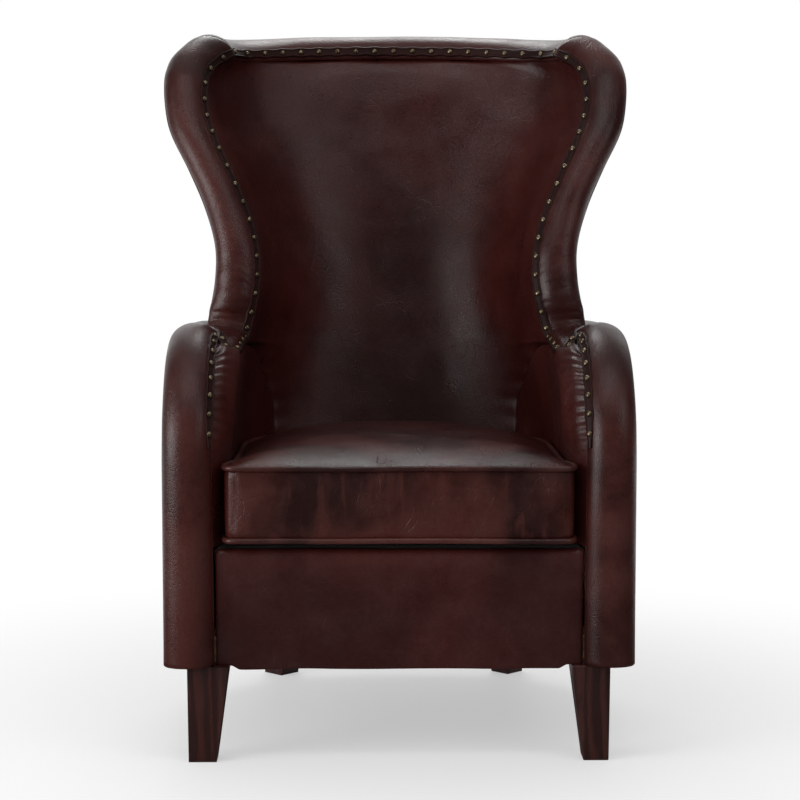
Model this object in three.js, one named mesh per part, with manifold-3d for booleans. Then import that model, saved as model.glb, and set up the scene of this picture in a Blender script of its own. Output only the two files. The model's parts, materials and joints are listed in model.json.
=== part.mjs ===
// Wingback armchair with a loose seat cushion, built piece by piece as it is upholstered.
// Millimetres. X runs across the chair, Y from front to back, Z up. The origin is on the floor.
import * as THREE from "three";
import { mergeVertices } from "three/addons/utils/BufferGeometryUtils.js";
import Module from "manifold-3d";

const wasm = await Module();
wasm.setup();

// Overall sizes. Depths run back from the foremost plane of the arms.
const overallDepth = 771;
const baseHeight = 145;
const deckHeight = 320;
const cushionRimGap = 13;
const cushionBottomHeight = deckHeight + cushionRimGap;
const cushionBoxingHeight = 107;
const cushionTopHeight = cushionBottomHeight + cushionBoxingHeight;
const armHeight = 617;
const wingFootGap = 13;
const wingFootHeight = armHeight - wingFootGap;
const wingHalfWidth = 382;
const wingFlareWidth = 32;
const armHalfWidth = wingHalfWidth - wingFlareWidth;
const armWidth = 96;
const seatHalfWidth = armHalfWidth - armWidth;
const outerCornerHeight = 1090;
const crestSlopeHeight = 18;
const innerCornerHeight = outerCornerHeight - crestSlopeHeight;
const innerCrestHeight = 13.5;
const outerCrestHeight = 19.5;

// Layers of the upholstered wall, from the sitter outwards.
const leatherThickness = 2;
const clearance = 0.3;
const backPadThickness = 18;
const webbingThickness = 2;
const wingBoardThickness = 16;
const seatRailThickness = 18;
const plyThickness = 16;

// Back: how thick its wall is at the deck and at the crest, and how far its outside draws in at the base.
const backWallThickness = 225;
const crestWallThickness = 74.6;
const innerBackDepth = overallDepth - backWallThickness;
const baseTuckDepth = 81;
const outerBackDepth = overallDepth - baseTuckDepth;
const innerRoundness = 2.4;
const outerRoundness = 2.6;
const ledgeFadeShare = 3;
const crestRiseStartShare = 0.77;
const hemGap = 1;

// Arm: the seam line of its front and top, and the roll in front of and above it.
const armRollDepth = 28;
const armCurveHeight = 177;
const armCurveBottomHeight = armHeight - armCurveHeight;
const armCurveShare = 0.936;
const armSeamLowWidth = 20;
const armSeamHighWidth = 24;
const armSeamLowHalfWidth = seatHalfWidth + armSeamLowWidth;
const armSeamHighHalfWidth = seatHalfWidth + armSeamHighWidth;
const armSeamTurnGap = 16.4;
const armSeamTurnLength = 97;
const armPadBlendDepth = 75;
const armPanelGap = 38;
const armPanelHalfWidth = armHalfWidth - armPanelGap;
const armPanelEndGap = 76;
const armPanelEndDepth = innerBackDepth - armPanelEndGap;
const armPadThinGap = 8.4;
const armPadThinLength = 120;
const sideSeamGap = 1.2;
const armEdgeGap = 0.6;
const seamTurn = 0.004;
const rollFadeShare = 0.75;
const armBendSpans = 6;

// Wings and crest: the roll's height over its seams.
const wingRollDepth = 28;
const crestRollHeight = 30;
const rollSeatGap = 0.7;
const stationGap = 5;
const wingTipRollDepth = 9;
const wingTipShare = 0.16;
const bandSeamShare = 0.001;
const rollTurnShares = [0, 0.045, 0.235, 0.5, 0.66, 0.83, 1];

// Seat frame, from the front border back.
const borderPadThickness = 10;
const railThickness = 20;
const railTopGap = 24;
const railTopHeight = deckHeight - railTopGap;
const blockLength = 62;
const blockDepth = 70;
const blockHeight = 40;
const rearBlockWidth = 70;
const rearBlockDepth = 44;
const railSamples = 400;
const springThickness = 4;
const springSpacing = 76;
const springWaveWidth = 26;
const springWireWidth = 5;
const springPitch = 40;
const crossWireShares = [0.2, 0.45, 0.7];
const deckSideShares = [0, 0.16, 0.32];
const deckCoverThickness = 1.2;
const dustCoverThickness = 1.4;
const borderTopGap = 2;
const borderTopHeight = deckHeight - borderTopGap;

// Legs.
const frontLegTopWidth = 58;
const frontLegFootWidth = 38;
const frontLegSideGap = 66;
const frontFootSideGap = 57;
const frontLegDepth = 49;
const frontFootDepth = 44;
const rearLegTopWidth = 50;
const rearLegFootWidth = 40;
const rearLegSideGap = 160;
const rearFootSideGap = 149;
const rearLegBackGap = 151;
const rearFootBackGap = 131;
const boltRadius = 4;
const boltSides = 12;
const boltLegDepth = 38;
const boltBlockDepth = 30;

// Cushion.
const cushionFrontDepth = 12;
const cushionFrontGap = 12;
const cushionSideGap = 3;
const cushionBackGap = 9;
const cushionRearGap = 22;
const cushionRearDepth = innerBackDepth - cushionRearGap;
const cushionCrownHeight = 34;
const cushionSagHeight = 12.7;
const boxingBulgeDepth = 2;
const pipingRadius = 4.5;
const coreGap = 5.2;
const cushionSides = 32;
const cushionFrontRoundness = 16;
const cushionCrownPower = 3.4;
const topRingShares = [1, 0.86, 0.6, 0.28];
const bottomRingShares = [1, 0.6];
const zipHeight = 26;
const zipLength = 190;
const zipThickness = 1.6;
const sliderLength = 9;
const sliderHeight = 8;
const sliderThickness = 2.4;
const pullLength = 22;
const pullWidth = 5;
const pullThickness = 1;

// Nail trim.
const trimWidth = 15;
const trimThickness = 1.4;
const nailRadius = 4.6;
const nailHeight = 2.4;
const nailSpacing = 33;
const trimGap = 1.5;

// Wing stations from the foot to the shoulder: share of the height, inner and outer half width as
// shares of the wing's, and the depth of the front edge as a share of the chair's.
const wingShares = [
  [0.0, 0.644, 0.8, 0.413],
  [0.06, 0.62, 0.793, 0.432],
  [0.184, 0.586, 0.767, 0.445],
  [0.301, 0.587, 0.767, 0.462],
  [0.43, 0.625, 0.812, 0.488],
  [0.564, 0.695, 0.885, 0.511],
  [0.688, 0.768, 0.963, 0.537],
  [0.771, 0.808, 0.99, 0.56],
  [0.878, 0.824, 1.0, 0.591],
  [0.936, 0.808, 0.987, 0.625],
  [0.974, 0.768, 0.955, 0.655],
  [1.0, 0.71, 0.916, 0.684],
];

// Seam between inside arm and inside back: share of the height from deck to wing foot, and the turn
// from the side towards the centre of the back as a share of a quarter turn.
const seamShares = [
  [0.0, 0.478],
  [0.42, 0.456],
  [0.62, 0.438],
  [0.7, 0.404],
  [0.8, 0.352],
  [0.91, 0.284],
  [0.975, 0.186],
  [1.0, 0.0],
];
const armFrontShares = [0, 0.3, 0.5, 0.64, 0.76, 0.86, 0.93, 0.975];
const backSeamShare = 0.578;
const sideColumns = 5;
const backColumns = 7;
const armColumnShares = [0, 0.08, 0.17, 0.3, 0.55, 0.76, 0.9, 1];

const quarter = Math.PI / 2;
const half = 0.5;
const sum = (values) => values.reduce((total, value) => total + value, 0);
const mix = (from, to, share) => from + (to - from) * share;
const clamp = (value) => Math.min(1, Math.max(0, value));
const smooth = (value) => clamp(value) ** 2 * (3 - 2 * clamp(value));
const steps = (from, to, count) => Array.from({ length: count + 1 }, (_, i) => mix(from, to, i / count));
const signedPower = (value, power) => Math.sign(value) * Math.abs(value) ** power;
const point = (x, depth, z) => new THREE.Vector3(x, depth - overallDepth * half, z);

// Value of a table's column at a share of its first column.
function readShares(table, column, share) {
  const next = Math.max(1, table.findIndex((row) => row[0] >= share));
  const [low, high] = [table[next - 1], table[next]];
  return mix(low[column], high[column], (share - low[0]) / (high[0] - low[0]));
}

// A closed mesh with its faces turned outwards.
function closedMesh(points, faces) {
  const volume = sum(faces.map(([a, b, c]) => points[a].dot(points[b].clone().cross(points[c]))));
  const turned = volume < 0 ? faces.map(([a, b, c]) => [a, c, b]) : faces;
  const geometry = new THREE.BufferGeometry().setFromPoints(points);
  geometry.setIndex(turned.flat());
  geometry.computeVertexNormals();
  return geometry;
}

// A sheet between two grids of points, closed along its edges, open where a cell isn't filled.
function sheet(near, far, filled = () => true) {
  const rows = near.length - 1;
  const columns = near[0].length - 1;
  const sidePoints = (rows + 1) * (columns + 1);
  const at = (row, column, side) => side * sidePoints + row * (columns + 1) + column;
  const inside = (row, column) => row >= 0 && column >= 0 && row < rows && column < columns;
  const has = (row, column) => inside(row, column) && filled(row, column);
  const faces = [];
  const quad = (a, b, c, d) => faces.push([a, b, c], [a, c, d]);
  const edge = (rowA, columnA, rowB, columnB) =>
    quad(at(rowB, columnB, 0), at(rowA, columnA, 0), at(rowA, columnA, 1), at(rowB, columnB, 1));
  for (let row = 0; row < rows; row++) {
    for (let column = 0; column < columns; column++) {
      if (!has(row, column)) continue;
      quad(at(row, column, 0), at(row, column + 1, 0), at(row + 1, column + 1, 0), at(row + 1, column, 0));
      quad(at(row, column, 1), at(row + 1, column, 1), at(row + 1, column + 1, 1), at(row, column + 1, 1));
      if (!has(row - 1, column)) edge(row, column, row, column + 1);
      if (!has(row, column + 1)) edge(row, column + 1, row + 1, column + 1);
      if (!has(row + 1, column)) edge(row + 1, column + 1, row + 1, column);
      if (!has(row, column - 1)) edge(row + 1, column, row, column);
    }
  }
  return closedMesh([...near.flat(), ...far.flat()], faces);
}

// A body through a row of closed sections, capped at its ends or joined into a ring. A face with a peak
// rises to it.
function loft(sections, ring = false, peakOf = () => null) {
  const sides = sections[0].length;
  const count = sections.length;
  const points = sections.flat();
  const faces = [];
  for (let s = 0; s < (ring ? count : count - 1); s++) {
    for (let k = 0; k < sides; k++) {
      const [a, b] = [s * sides + k, s * sides + ((k + 1) % sides)];
      const [d, c] = [((s + 1) % count) * sides + k, ((s + 1) % count) * sides + ((k + 1) % sides)];
      const peak = peakOf(s, k);
      if (!peak) {
        faces.push([a, b, c], [a, c, d]);
        continue;
      }
      const top = points.push(peak) - 1;
      faces.push([a, b, top], [b, c, top], [c, d, top], [d, a, top]);
    }
  }
  if (!ring) {
    for (const [section, start] of [[sections[0], 0], [sections[count - 1], (count - 1) * sides]]) {
      const centre = points.length;
      points.push(section.reduce((total, p) => total.add(p), new THREE.Vector3()).divideScalar(sides));
      for (let k = 0; k < sides; k++) {
        const pair = [start + k, start + ((k + 1) % sides)];
        faces.push(start === 0 ? [centre, pair[1], pair[0]] : [centre, ...pair]);
      }
    }
  }
  return closedMesh(points, faces);
}

function toSolid(geometry) {
  const bare = geometry.clone();
  bare.deleteAttribute("normal");
  bare.deleteAttribute("uv");
  const merged = mergeVertices(bare);
  return new wasm.Manifold(
    new wasm.Mesh({
      numProp: 3,
      vertProperties: Float32Array.from(merged.attributes.position.array),
      triVerts: Uint32Array.from(merged.index.array),
    }),
  );
}

function fromSolid(solid) {
  const mesh = solid.getMesh();
  const geometry = new THREE.BufferGeometry();
  geometry.setAttribute("position", new THREE.BufferAttribute(mesh.vertProperties, 3));
  geometry.setIndex(new THREE.BufferAttribute(mesh.triVerts, 1));
  geometry.computeVertexNormals();
  return geometry;
}

function box(x0, x1, depth0, depth1, z0, z1) {
  const size = [x1 - x0, depth1 - depth0, z1 - z0];
  const centre = point(mix(x0, x1, half), mix(depth0, depth1, half), mix(z0, z1, half));
  return new THREE.BoxGeometry(...size).translate(centre.x, centre.y, centre.z);
}

// Walls in plan: half of a rounded outline. The turn runs from the right side, through the centre of
// the back at a quarter turn, to the left side. The offset is level, away from the sitter.
function wallPoint(width, start, reach, roundness, turn, z, offset) {
  const [c, s] = [Math.cos(turn), Math.sin(turn)];
  const x = width * signedPower(c, 2 / roundness);
  const run = (reach - start) * signedPower(s, 2 / roundness);
  const lean = new THREE.Vector2(
    signedPower(x / width, roundness - 1) / width,
    signedPower(run / (reach - start), roundness - 1) / (reach - start),
  ).normalize();
  return point(x + offset * lean.x, start + run + offset * lean.y, z);
}

const wingFootDepth = wingShares[0][3] * overallDepth;
const armSeamTurnEndDepth = wingFootDepth - armSeamTurnGap;
const armSeamTurnStartDepth = armSeamTurnEndDepth - armSeamTurnLength;
const armPadThinEndDepth = wingFootDepth - armPadThinGap;
const armPadThinStartDepth = armPadThinEndDepth - armPadThinLength;
const heightShare = (z, low, high) => (z - low) / (high - low);
const innerBack = (z) => {
  const share = Math.max(0, heightShare(z, deckHeight, innerCornerHeight));
  return mix(innerBackDepth, overallDepth - crestWallThickness, share);
};
const outerBack = (z) => mix(outerBackDepth, overallDepth, heightShare(z, baseHeight, outerCornerHeight));
const innerHeight = (share) => mix(wingFootHeight, innerCornerHeight, share);
const outerFootHeight = armHeight + clearance;
const outerHeight = (share) => mix(outerFootHeight, outerCornerHeight, share);
const riseShare = (share) => smooth((share - crestRiseStartShare) / (1 - crestRiseStartShare));
const bow = (turn) => 1 - Math.abs(Math.cos(turn)) ** 2;

// The sitter's side of the wall over the arms, by the share of the wing's height.
function innerWing(share, turn, offset = 0) {
  const z = innerHeight(share);
  const width = readShares(wingShares, 1, share) * wingHalfWidth;
  const start = readShares(wingShares, 3, share) * overallDepth;
  const raised = z + innerCrestHeight * riseShare(share) * bow(turn);
  return wallPoint(width, start, innerBack(z), innerRoundness, turn, raised, offset);
}

// The same side under the wing's foot, down to the deck, then straight to the base.
const lowerWidth = (z) => {
  const share = smooth(heightShare(z, cushionTopHeight, wingFootHeight));
  return mix(seatHalfWidth, wingShares[0][1] * wingHalfWidth, share);
};
const innerLower = (z, turn, offset = 0) =>
  wallPoint(lowerWidth(z), wingFootDepth, innerBack(z), innerRoundness, turn, z, offset);

// Outside of the wall: the arm's level below, the wing's above, alike towards the back.
const outerLower = (z, turn, offset = 0) =>
  wallPoint(armHalfWidth, wingFootDepth, outerBack(z), outerRoundness, turn, z, offset);

function outerWing(share, turn, offset = 0) {
  const z = outerHeight(share);
  const width = readShares(wingShares, 2, share) * wingHalfWidth;
  const start = readShares(wingShares, 3, share) * overallDepth;
  const fade = 1 - (1 - width / armHalfWidth) * Math.abs(Math.cos(turn)) ** ledgeFadeShare;
  const raised = z + outerCrestHeight * riseShare(share) * bow(turn);
  const p = wallPoint(armHalfWidth, start, outerBack(z), outerRoundness, turn, raised, offset);
  return new THREE.Vector3(p.x * fade, p.y, p.z);
}

// Turns shared by all layers of the inside: from a row's own edge to the back seam, then across.
function innerTurns(edgeShare) {
  const side = steps(edgeShare, backSeamShare, sideColumns).map((share) => share * quarter);
  const back = steps(backSeamShare, 2 - backSeamShare, backColumns).map((share) => share * quarter);
  const otherSide = side.map((turn) => 2 * quarter - turn).reverse();
  return [...side, ...back.slice(1, -1), ...otherSide];
}

// Rows of the inside: below the wing's foot they start at the arm seam, above it at the wing's edge.
const lowerRows = seamShares.slice(0, -1).map(([share, edge]) => {
  const z = mix(deckHeight + clearance, wingFootHeight, share);
  return { z, turns: innerTurns(edge), at: (turn, offset) => innerLower(z, turn, offset) };
});
const upperRows = wingShares.map(([share]) => ({
  z: innerHeight(share),
  turns: innerTurns(0),
  at: (turn, offset) => innerWing(share, turn, offset),
}));
const innerRows = [...lowerRows, ...upperRows];
const baseInside = baseHeight + dustCoverThickness + 2 * clearance;
const postRow = {
  z: baseInside,
  turns: innerTurns(seamShares[0][1]),
  at: (turn, offset) => innerLower(baseInside, turn, offset),
};

// A layer of the inside wall between two offsets, over a span of columns.
function innerLayer(rows, from, to, nearOffset, farOffset, filled) {
  const line = (row, offset) => row.turns.slice(from, to + 1).map((turn) => row.at(turn, offset));
  const grid = (offset) => rows.map((row) => line(row, offset));
  return sheet(grid(nearOffset), grid(farOffset), filled);
}

const lastColumn = 2 * sideColumns + backColumns;
const padNear = leatherThickness + clearance;
const padFar = padNear + backPadThickness;
const webbingNear = padFar + clearance;
const boardNear = webbingNear + webbingThickness + clearance;
const boardFar = boardNear + wingBoardThickness;
const railNear = boardFar + clearance;
const railFar = railNear + seatRailThickness;

// Seam line of the arm's front and top, from the base up and back, level in X. The bend is a quarter
// of an ellipse in straight spans, shared by all that meets it.
const armSeamFront = armRollDepth + rollSeatGap;
const armCurveDepth = armCurveShare * (armSeamTurnStartDepth - armSeamFront);
const armBend = steps(0, quarter, armBendSpans);
const bendHeight = (turn) => armCurveBottomHeight + (armHeight - armCurveBottomHeight) * Math.sin(turn);
const bendDepth = (turn) => armSeamFront + armCurveDepth * (1 - Math.cos(turn));
function armSeamDepth(z) {
  if (z <= armCurveBottomHeight) return armSeamFront;
  const next = armBend.findIndex((turn) => bendHeight(turn) >= z);
  if (next < 0) return armSeamFront + armCurveDepth;
  const [low, high] = [armBend[next - 1], armBend[next]];
  const climb = (z - bendHeight(low)) / (bendHeight(high) - bendHeight(low));
  return mix(bendDepth(low), bendDepth(high), climb);
}

// Half width of the inside arm at a depth.
function seatSide(z, depth) {
  const width = lowerWidth(z);
  if (depth <= wingFootDepth) return width;
  const share = (depth - wingFootDepth) / (innerBack(z) - wingFootDepth);
  return width * (1 - share ** innerRoundness) ** (1 / innerRoundness);
}

const wingOuterFoot = wingShares[0][2] * wingHalfWidth;
const armSeamX = (z) =>
  mix(armSeamLowHalfWidth, armSeamHighHalfWidth, clamp(heightShare(z, baseHeight, armHeight)));
const armTopSeamX = (depth) => {
  const share = smooth((depth - armSeamTurnStartDepth) / armSeamTurnLength);
  return mix(armSeamHighHalfWidth, wingOuterFoot + sideSeamGap, share);
};

// Inside arm rows, each from the arm's front seam to its seam with the inside back.
function armRow(index) {
  const frontZ = mix(deckHeight + clearance, armHeight - clearance, armFrontShares[index]);
  const [rowShare, turnShare] = seamShares[index];
  const drop = index > 0 ? armEdgeGap : 0;
  const backZ = mix(deckHeight + clearance, wingFootHeight, rowShare) - drop;
  const end = innerLower(backZ, Math.max(0, turnShare * quarter - seamTurn));
  const front = armSeamDepth(frontZ) + clearance;
  const back = end.y + overallDepth * half;
  return armColumnShares.map((share) => {
    const depth = mix(front, back, share);
    const z = mix(frontZ, backZ, share);
    const blend = smooth((depth - front) / armPadBlendDepth);
    return { depth, z, x: mix(armSeamX(frontZ), seatSide(z, depth), blend) };
  });
}
const armRows = armFrontShares.map((_, index) => armRow(index));
const armLip = armColumnShares.map((share) => {
  const depth = mix(armSeamDepth(armHeight) + clearance, armSeamTurnEndDepth, share);
  return { depth, z: armHeight - clearance, x: armTopSeamX(depth) };
});

// A point of the inside arm moved level away from the sitter.
function armPoint({ x, depth, z }, offset) {
  if (depth <= wingFootDepth) return point(x + offset, depth, z);
  const reach = innerBack(z) - wingFootDepth;
  const lean = new THREE.Vector2(
    (x / lowerWidth(z)) ** (innerRoundness - 1) / lowerWidth(z),
    ((depth - wingFootDepth) / reach) ** (innerRoundness - 1) / reach,
  ).normalize();
  return point(x + offset * lean.x, depth + offset * lean.y, z);
}
const armGrid = (rows, offsetAt) => rows.map((row) => row.map((p) => armPoint(p, offsetAt(p))));
const armPadFar = ({ x, depth }) =>
  mix(armPanelHalfWidth - clearance - x, padFar, smooth((depth - armPadThinStartDepth) / armPadThinLength));

// Columns of the outside, shared by its covers and by the rolls that meet them.
const outerSideShares = steps(0, backSeamShare, sideColumns);
const outerBackShares = steps(backSeamShare, 2 - backSeamShare, backColumns);
const armTailShares = outerSideShares.slice(0, -1);
const crestShares = [
  ...outerSideShares,
  ...outerBackShares.slice(1, -1),
  ...outerSideShares.map((share) => 2 - share).reverse(),
];

// Rolled edges. A station joins an inner and an outer seam point and says how far the roll stands out.
const armTop = (depth, x) => ({
  inner: point(x, depth, armHeight),
  outer: point(armHalfWidth, depth, armHeight),
});
const armFront = (z) => ({
  inner: point(armSeamX(z), armSeamDepth(z), z),
  outer: point(armHalfWidth, armSeamDepth(z), z),
});
const armStations = [
  ...steps(baseHeight, armCurveBottomHeight, 3).map(armFront),
  ...armBend.slice(1, -1).map((turn) => armFront(bendHeight(turn))),
  ...steps(armSeamFront + armCurveDepth, armSeamTurnEndDepth, 4).map((depth) =>
    armTop(depth, armTopSeamX(depth)),
  ),
  ...armTailShares.map((share) => ({
    inner: outerWing(0, share * quarter, sideSeamGap).setZ(armHeight),
    outer: outerLower(armHeight, share * quarter),
  })),
].map((station) => {
  const share = station.inner.distanceTo(station.outer) / (armHalfWidth - armSeamHighHalfWidth);
  return { ...station, rise: armRollDepth * Math.min(1, share) ** rollFadeShare };
});

const wingStation = (share) => ({
  inner: innerWing(share, 0),
  outer: outerWing(share, 0),
  rise: mix(wingTipRollDepth, wingRollDepth, smooth(share / wingTipShare)),
});
const crestStation = (share) => ({
  inner: innerWing(1, share * quarter),
  outer: outerWing(1, share * quarter),
  rise: mix(wingRollDepth, crestRollHeight, smooth(share) * smooth(2 - share)),
});
const mirrorPoint = (p) => new THREE.Vector3(-p.x, p.y, p.z);
const mirrorStation = ({ inner, outer, rise }) => ({
  inner: mirrorPoint(inner),
  outer: mirrorPoint(outer),
  rise,
});
const wingSide = wingShares.slice(0, -1).map(([share]) => wingStation(share));
const wingPath = [...wingSide, wingStation(1 - bandSeamShare)];
const borderStations = [
  ...wingPath,
  ...crestShares.map(crestStation),
  ...wingPath.map(mirrorStation).reverse(),
];

// Chord, outward direction and middle of each station.
function framed(stations) {
  const middle = stations.map(({ inner, outer }) => inner.clone().lerp(outer, half));
  const apart = (p, q) => p.distanceTo(q) > stationGap;
  return stations.map(({ inner, outer, rise }, i) => {
    const chord = outer.clone().sub(inner);
    const after = middle.slice(i).find((p) => apart(p, middle[i])) ?? middle[i];
    const before = middle.slice(0, i).reverse().find((p) => apart(p, middle[i])) ?? middle[i];
    const path = after.clone().sub(before);
    const out = chord.clone().cross(path).normalize();
    if (out.z - out.y < 0) out.negate();
    const across = chord.clone().normalize();
    return { middle: middle[i], across, width: chord.length() * half, out, rise };
  });
}
const armFrames = framed(armStations);
const borderFrames = framed(borderStations);
const wingCount = wingPath.length;

// Point of a station's round section: the turn runs from the inner seam over to the outer seam.
function rollPoint({ middle, across, width, out, rise }, turn, inset) {
  return middle
    .clone()
    .addScaledVector(across, -(width - inset) * Math.cos(turn))
    .addScaledVector(out, rollSeatGap + (rise - inset) * Math.sin(turn));
}
const rollTurns = rollTurnShares.map((share) => share * 2 * quarter);
const rollSection = (frame, inset) => rollTurns.map((turn) => rollPoint(frame, turn, inset));
const roll = (frames) => loft(frames.map((frame) => rollSection(frame, leatherThickness + clearance)));
const band = (frames) =>
  sheet(
    frames.map((frame) => rollSection(frame, 0)),
    frames.map((frame) => rollSection(frame, leatherThickness)),
  );

// Nail trim: a strip on the band's second face with a row of domed heads joined to it.
function trimFrame(frame) {
  const [low, high] = [rollPoint(frame, rollTurns[1], 0), rollPoint(frame, rollTurns[2], 0)];
  const along = high.clone().sub(low).normalize();
  const middle = low.clone().lerp(high, half);
  const away = middle.clone().sub(frame.middle);
  const out = away.addScaledVector(along, -away.dot(along)).normalize();
  return { middle, along, out };
}
function nailTrim(frames) {
  const places = frames.map(trimFrame);
  const reach = [0];
  for (let i = 1; i < places.length; i++) {
    reach.push(reach[i - 1] + places[i].middle.distanceTo(places[i - 1].middle));
  }
  const length = reach[reach.length - 1];
  const spans = Math.floor((length - nailSpacing) / nailSpacing);
  const margin = (length - spans * nailSpacing) * half;
  const nails = steps(margin, length - margin, spans);
  const plain = reach.filter((distance) => nails.every((nail) => Math.abs(nail - distance) > nailRadius));
  const rims = nails.flatMap((nail) => [nail - nailRadius, nail + nailRadius]);
  const cuts = [...plain, ...rims].sort((a, b) => a - b);
  const at = (distance, side, height) => {
    const next = Math.max(1, reach.findIndex((stop) => stop >= distance));
    const share = (distance - reach[next - 1]) / (reach[next] - reach[next - 1]);
    const edge = ({ middle, along, out }) =>
      middle.clone().addScaledVector(along, side * trimWidth * half).addScaledVector(out, trimGap + height);
    return edge(places[next - 1]).lerp(edge(places[next]), share);
  };
  const sections = cuts.map((cutAt) => [
    at(cutAt, -1, 0),
    at(cutAt, 1, 0),
    at(cutAt, 1, trimThickness),
    at(cutAt, -1, trimThickness),
  ]);
  const peakOf = (span, side) => {
    const nail = nails.find((distance) => cuts[span] === distance - nailRadius);
    return side === 2 && nail !== undefined ? at(nail, 0, trimThickness + nailHeight) : null;
  };
  return loft(sections, false, peakOf);
}
const armTrimFrames = armFrames.slice(3, -armTailShares.length);

// Outside covers.
const outerSideTurns = outerSideShares.map((share) => share * quarter);
const outerBackTurns = outerBackShares.map((share) => share * quarter);
const pulledIn = (turns, gap) => turns.map((turn, i) => {
  if (i === 0) return turn + gap;
  return i === turns.length - 1 ? turn - gap : turn;
});
const coverRow = (at, turns, offset) => turns.map((turn) => at(turn, offset));
const outerArmZ = [
  ...steps(baseHeight, armCurveBottomHeight, 2),
  ...armBend.slice(1).map(bendHeight),
];
const sideTurns = [...outerSideTurns.slice(1, -1), outerSideTurns[sideColumns] - seamTurn];
function outsideArm() {
  const grid = (offset) =>
    outerArmZ.map((z) => [
      ...steps(armSeamDepth(z), wingFootDepth, 3).map((depth) => point(armHalfWidth + offset, depth, z)),
      ...coverRow((turn, o) => outerLower(z, turn, o), sideTurns, offset),
    ]);
  return sheet(grid(0), grid(-leatherThickness));
}
function outsideWing() {
  const turns = [0, ...sideTurns];
  const grid = (offset) =>
    wingShares.map(([share]) => coverRow((turn, o) => outerWing(share, turn, o), turns, offset));
  return sheet(grid(0), grid(-leatherThickness));
}
function outsideBack() {
  const turns = pulledIn(outerBackTurns, seamTurn);
  const grid = (offset) => [
    ...[...steps(baseHeight, armCurveBottomHeight, 2), armHeight].map((z) =>
      coverRow((turn, o) => outerLower(z, turn, o), turns, offset),
    ),
    ...wingShares.slice(1).map(([share]) =>
      coverRow((turn, o) => outerWing(share, turn, o), turns, offset),
    ),
  ];
  return sheet(grid(0), grid(-leatherThickness));
}

// A flat body between two heights over one outline.
const flat = (outline, low, high) => loft([low, high].map((z) => outline.map((p) => p.clone().setZ(z))));

// Seat: the front border, the rails and blocks, the springs and the deck.
const borderNear = armSeamFront + leatherThickness + clearance;
const railFront = borderNear + borderPadThickness + clearance;
const borderHalf = armSeamLowHalfWidth - clearance - trimGap;
const panelFace = armPanelHalfWidth - clearance;
const springTop = railTopHeight + clearance + springThickness;
const deckPadTop = deckHeight - deckCoverThickness - 2 * clearance;

function borderCover() {
  const top = borderTopHeight;
  const profile = [
    [armSeamFront, baseHeight],
    [borderNear - clearance, baseHeight],
    [borderNear - clearance, top - leatherThickness],
    [railFront - clearance, top - leatherThickness],
    [railFront - clearance, top],
    [armSeamFront, top],
  ];
  const outline = profile.map(([depth, z]) => new THREE.Vector2(depth - overallDepth * half, z));
  const shape = new THREE.Shape(outline);
  const geometry = new THREE.ExtrudeGeometry(shape, { depth: 2 * borderHalf, bevelEnabled: false });
  geometry.applyMatrix4(new THREE.Matrix4().makeBasis(
    new THREE.Vector3(0, 1, 0), new THREE.Vector3(0, 0, 1), new THREE.Vector3(1, 0, 0)));
  return geometry.translate(-borderHalf, 0, 0);
}

function armPanel() {
  const front = armSeamFront + clearance;
  const top = armHeight - clearance;
  const profile = [
    [armPanelEndDepth, baseInside],
    [front, baseInside],
    ...armBend.map((turn) => [bendDepth(turn) + clearance, bendHeight(turn) - clearance]),
    [armPanelEndDepth, top],
  ];
  const face = (x) => profile.map(([depth, z]) => point(x, depth, z));
  return loft([face(armPanelHalfWidth), face(armPanelHalfWidth + plyThickness)]);
}

const fullTurns = [...deckSideShares.map((share) => share * quarter), ...postRow.turns,
  ...deckSideShares.map((share) => (2 - share) * quarter).reverse()];
const deckOutline = [
  point(seatHalfWidth + padFar, railFront, 0),
  ...fullTurns.map((turn) => innerLower(deckHeight, turn, padFar)),
  point(-seatHalfWidth - padFar, railFront, 0),
];
const dustTurns = [...outerSideTurns, ...outerBackTurns.slice(1, -1),
  ...outerSideTurns.map((turn) => 2 * quarter - turn).reverse()];
const dustOutline = [
  point(armHalfWidth - leatherThickness - clearance, borderNear, 0),
  ...dustTurns.map((turn) => outerLower(baseHeight, turn, -leatherThickness - clearance)),
  point(-armHalfWidth + leatherThickness + clearance, borderNear, 0),
];

function springUnit() {
  const spring = (x) => {
    const reach = seatHalfWidth + railNear;
    const run = innerBackDepth + railNear - wingFootDepth;
    const back = wingFootDepth + run * (1 - Math.abs(x / reach) ** innerRoundness) ** (1 / innerRoundness);
    const front = railFront + clearance;
    const bends = Math.round((back - front) / springPitch);
    const line = steps(front, back + seatRailThickness * half, bends).map((depth, i) => [
      x + (i % 2 ? springWaveWidth : -springWaveWidth) * half,
      depth,
    ]);
    const side = (shift) => line.map(([sx, depth]) => point(sx + shift * springWireWidth * half, depth, 0));
    return toSolid(
      sheet(
        [side(-1), side(1)].map((row) => row.map((p) => p.clone().setZ(railTopHeight + clearance))),
        [side(-1), side(1)].map((row) => row.map((p) => p.clone().setZ(springTop))),
      ),
    );
  };
  const reach = 2 * springSpacing + springWaveWidth;
  const wires = crossWireShares.map((share) => {
    const depth = mix(railFront, innerBackDepth, share);
    const wire = box(-reach, reach, depth, depth + springWireWidth, railTopHeight + clearance, springTop);
    return toSolid(wire);
  });
  const springs = [-2, -1, 0, 1, 2].map((place) => spring(place * springSpacing));
  return fromSolid([...springs, ...wires].reduce((whole, solid) => whole.add(solid)));
}

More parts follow.
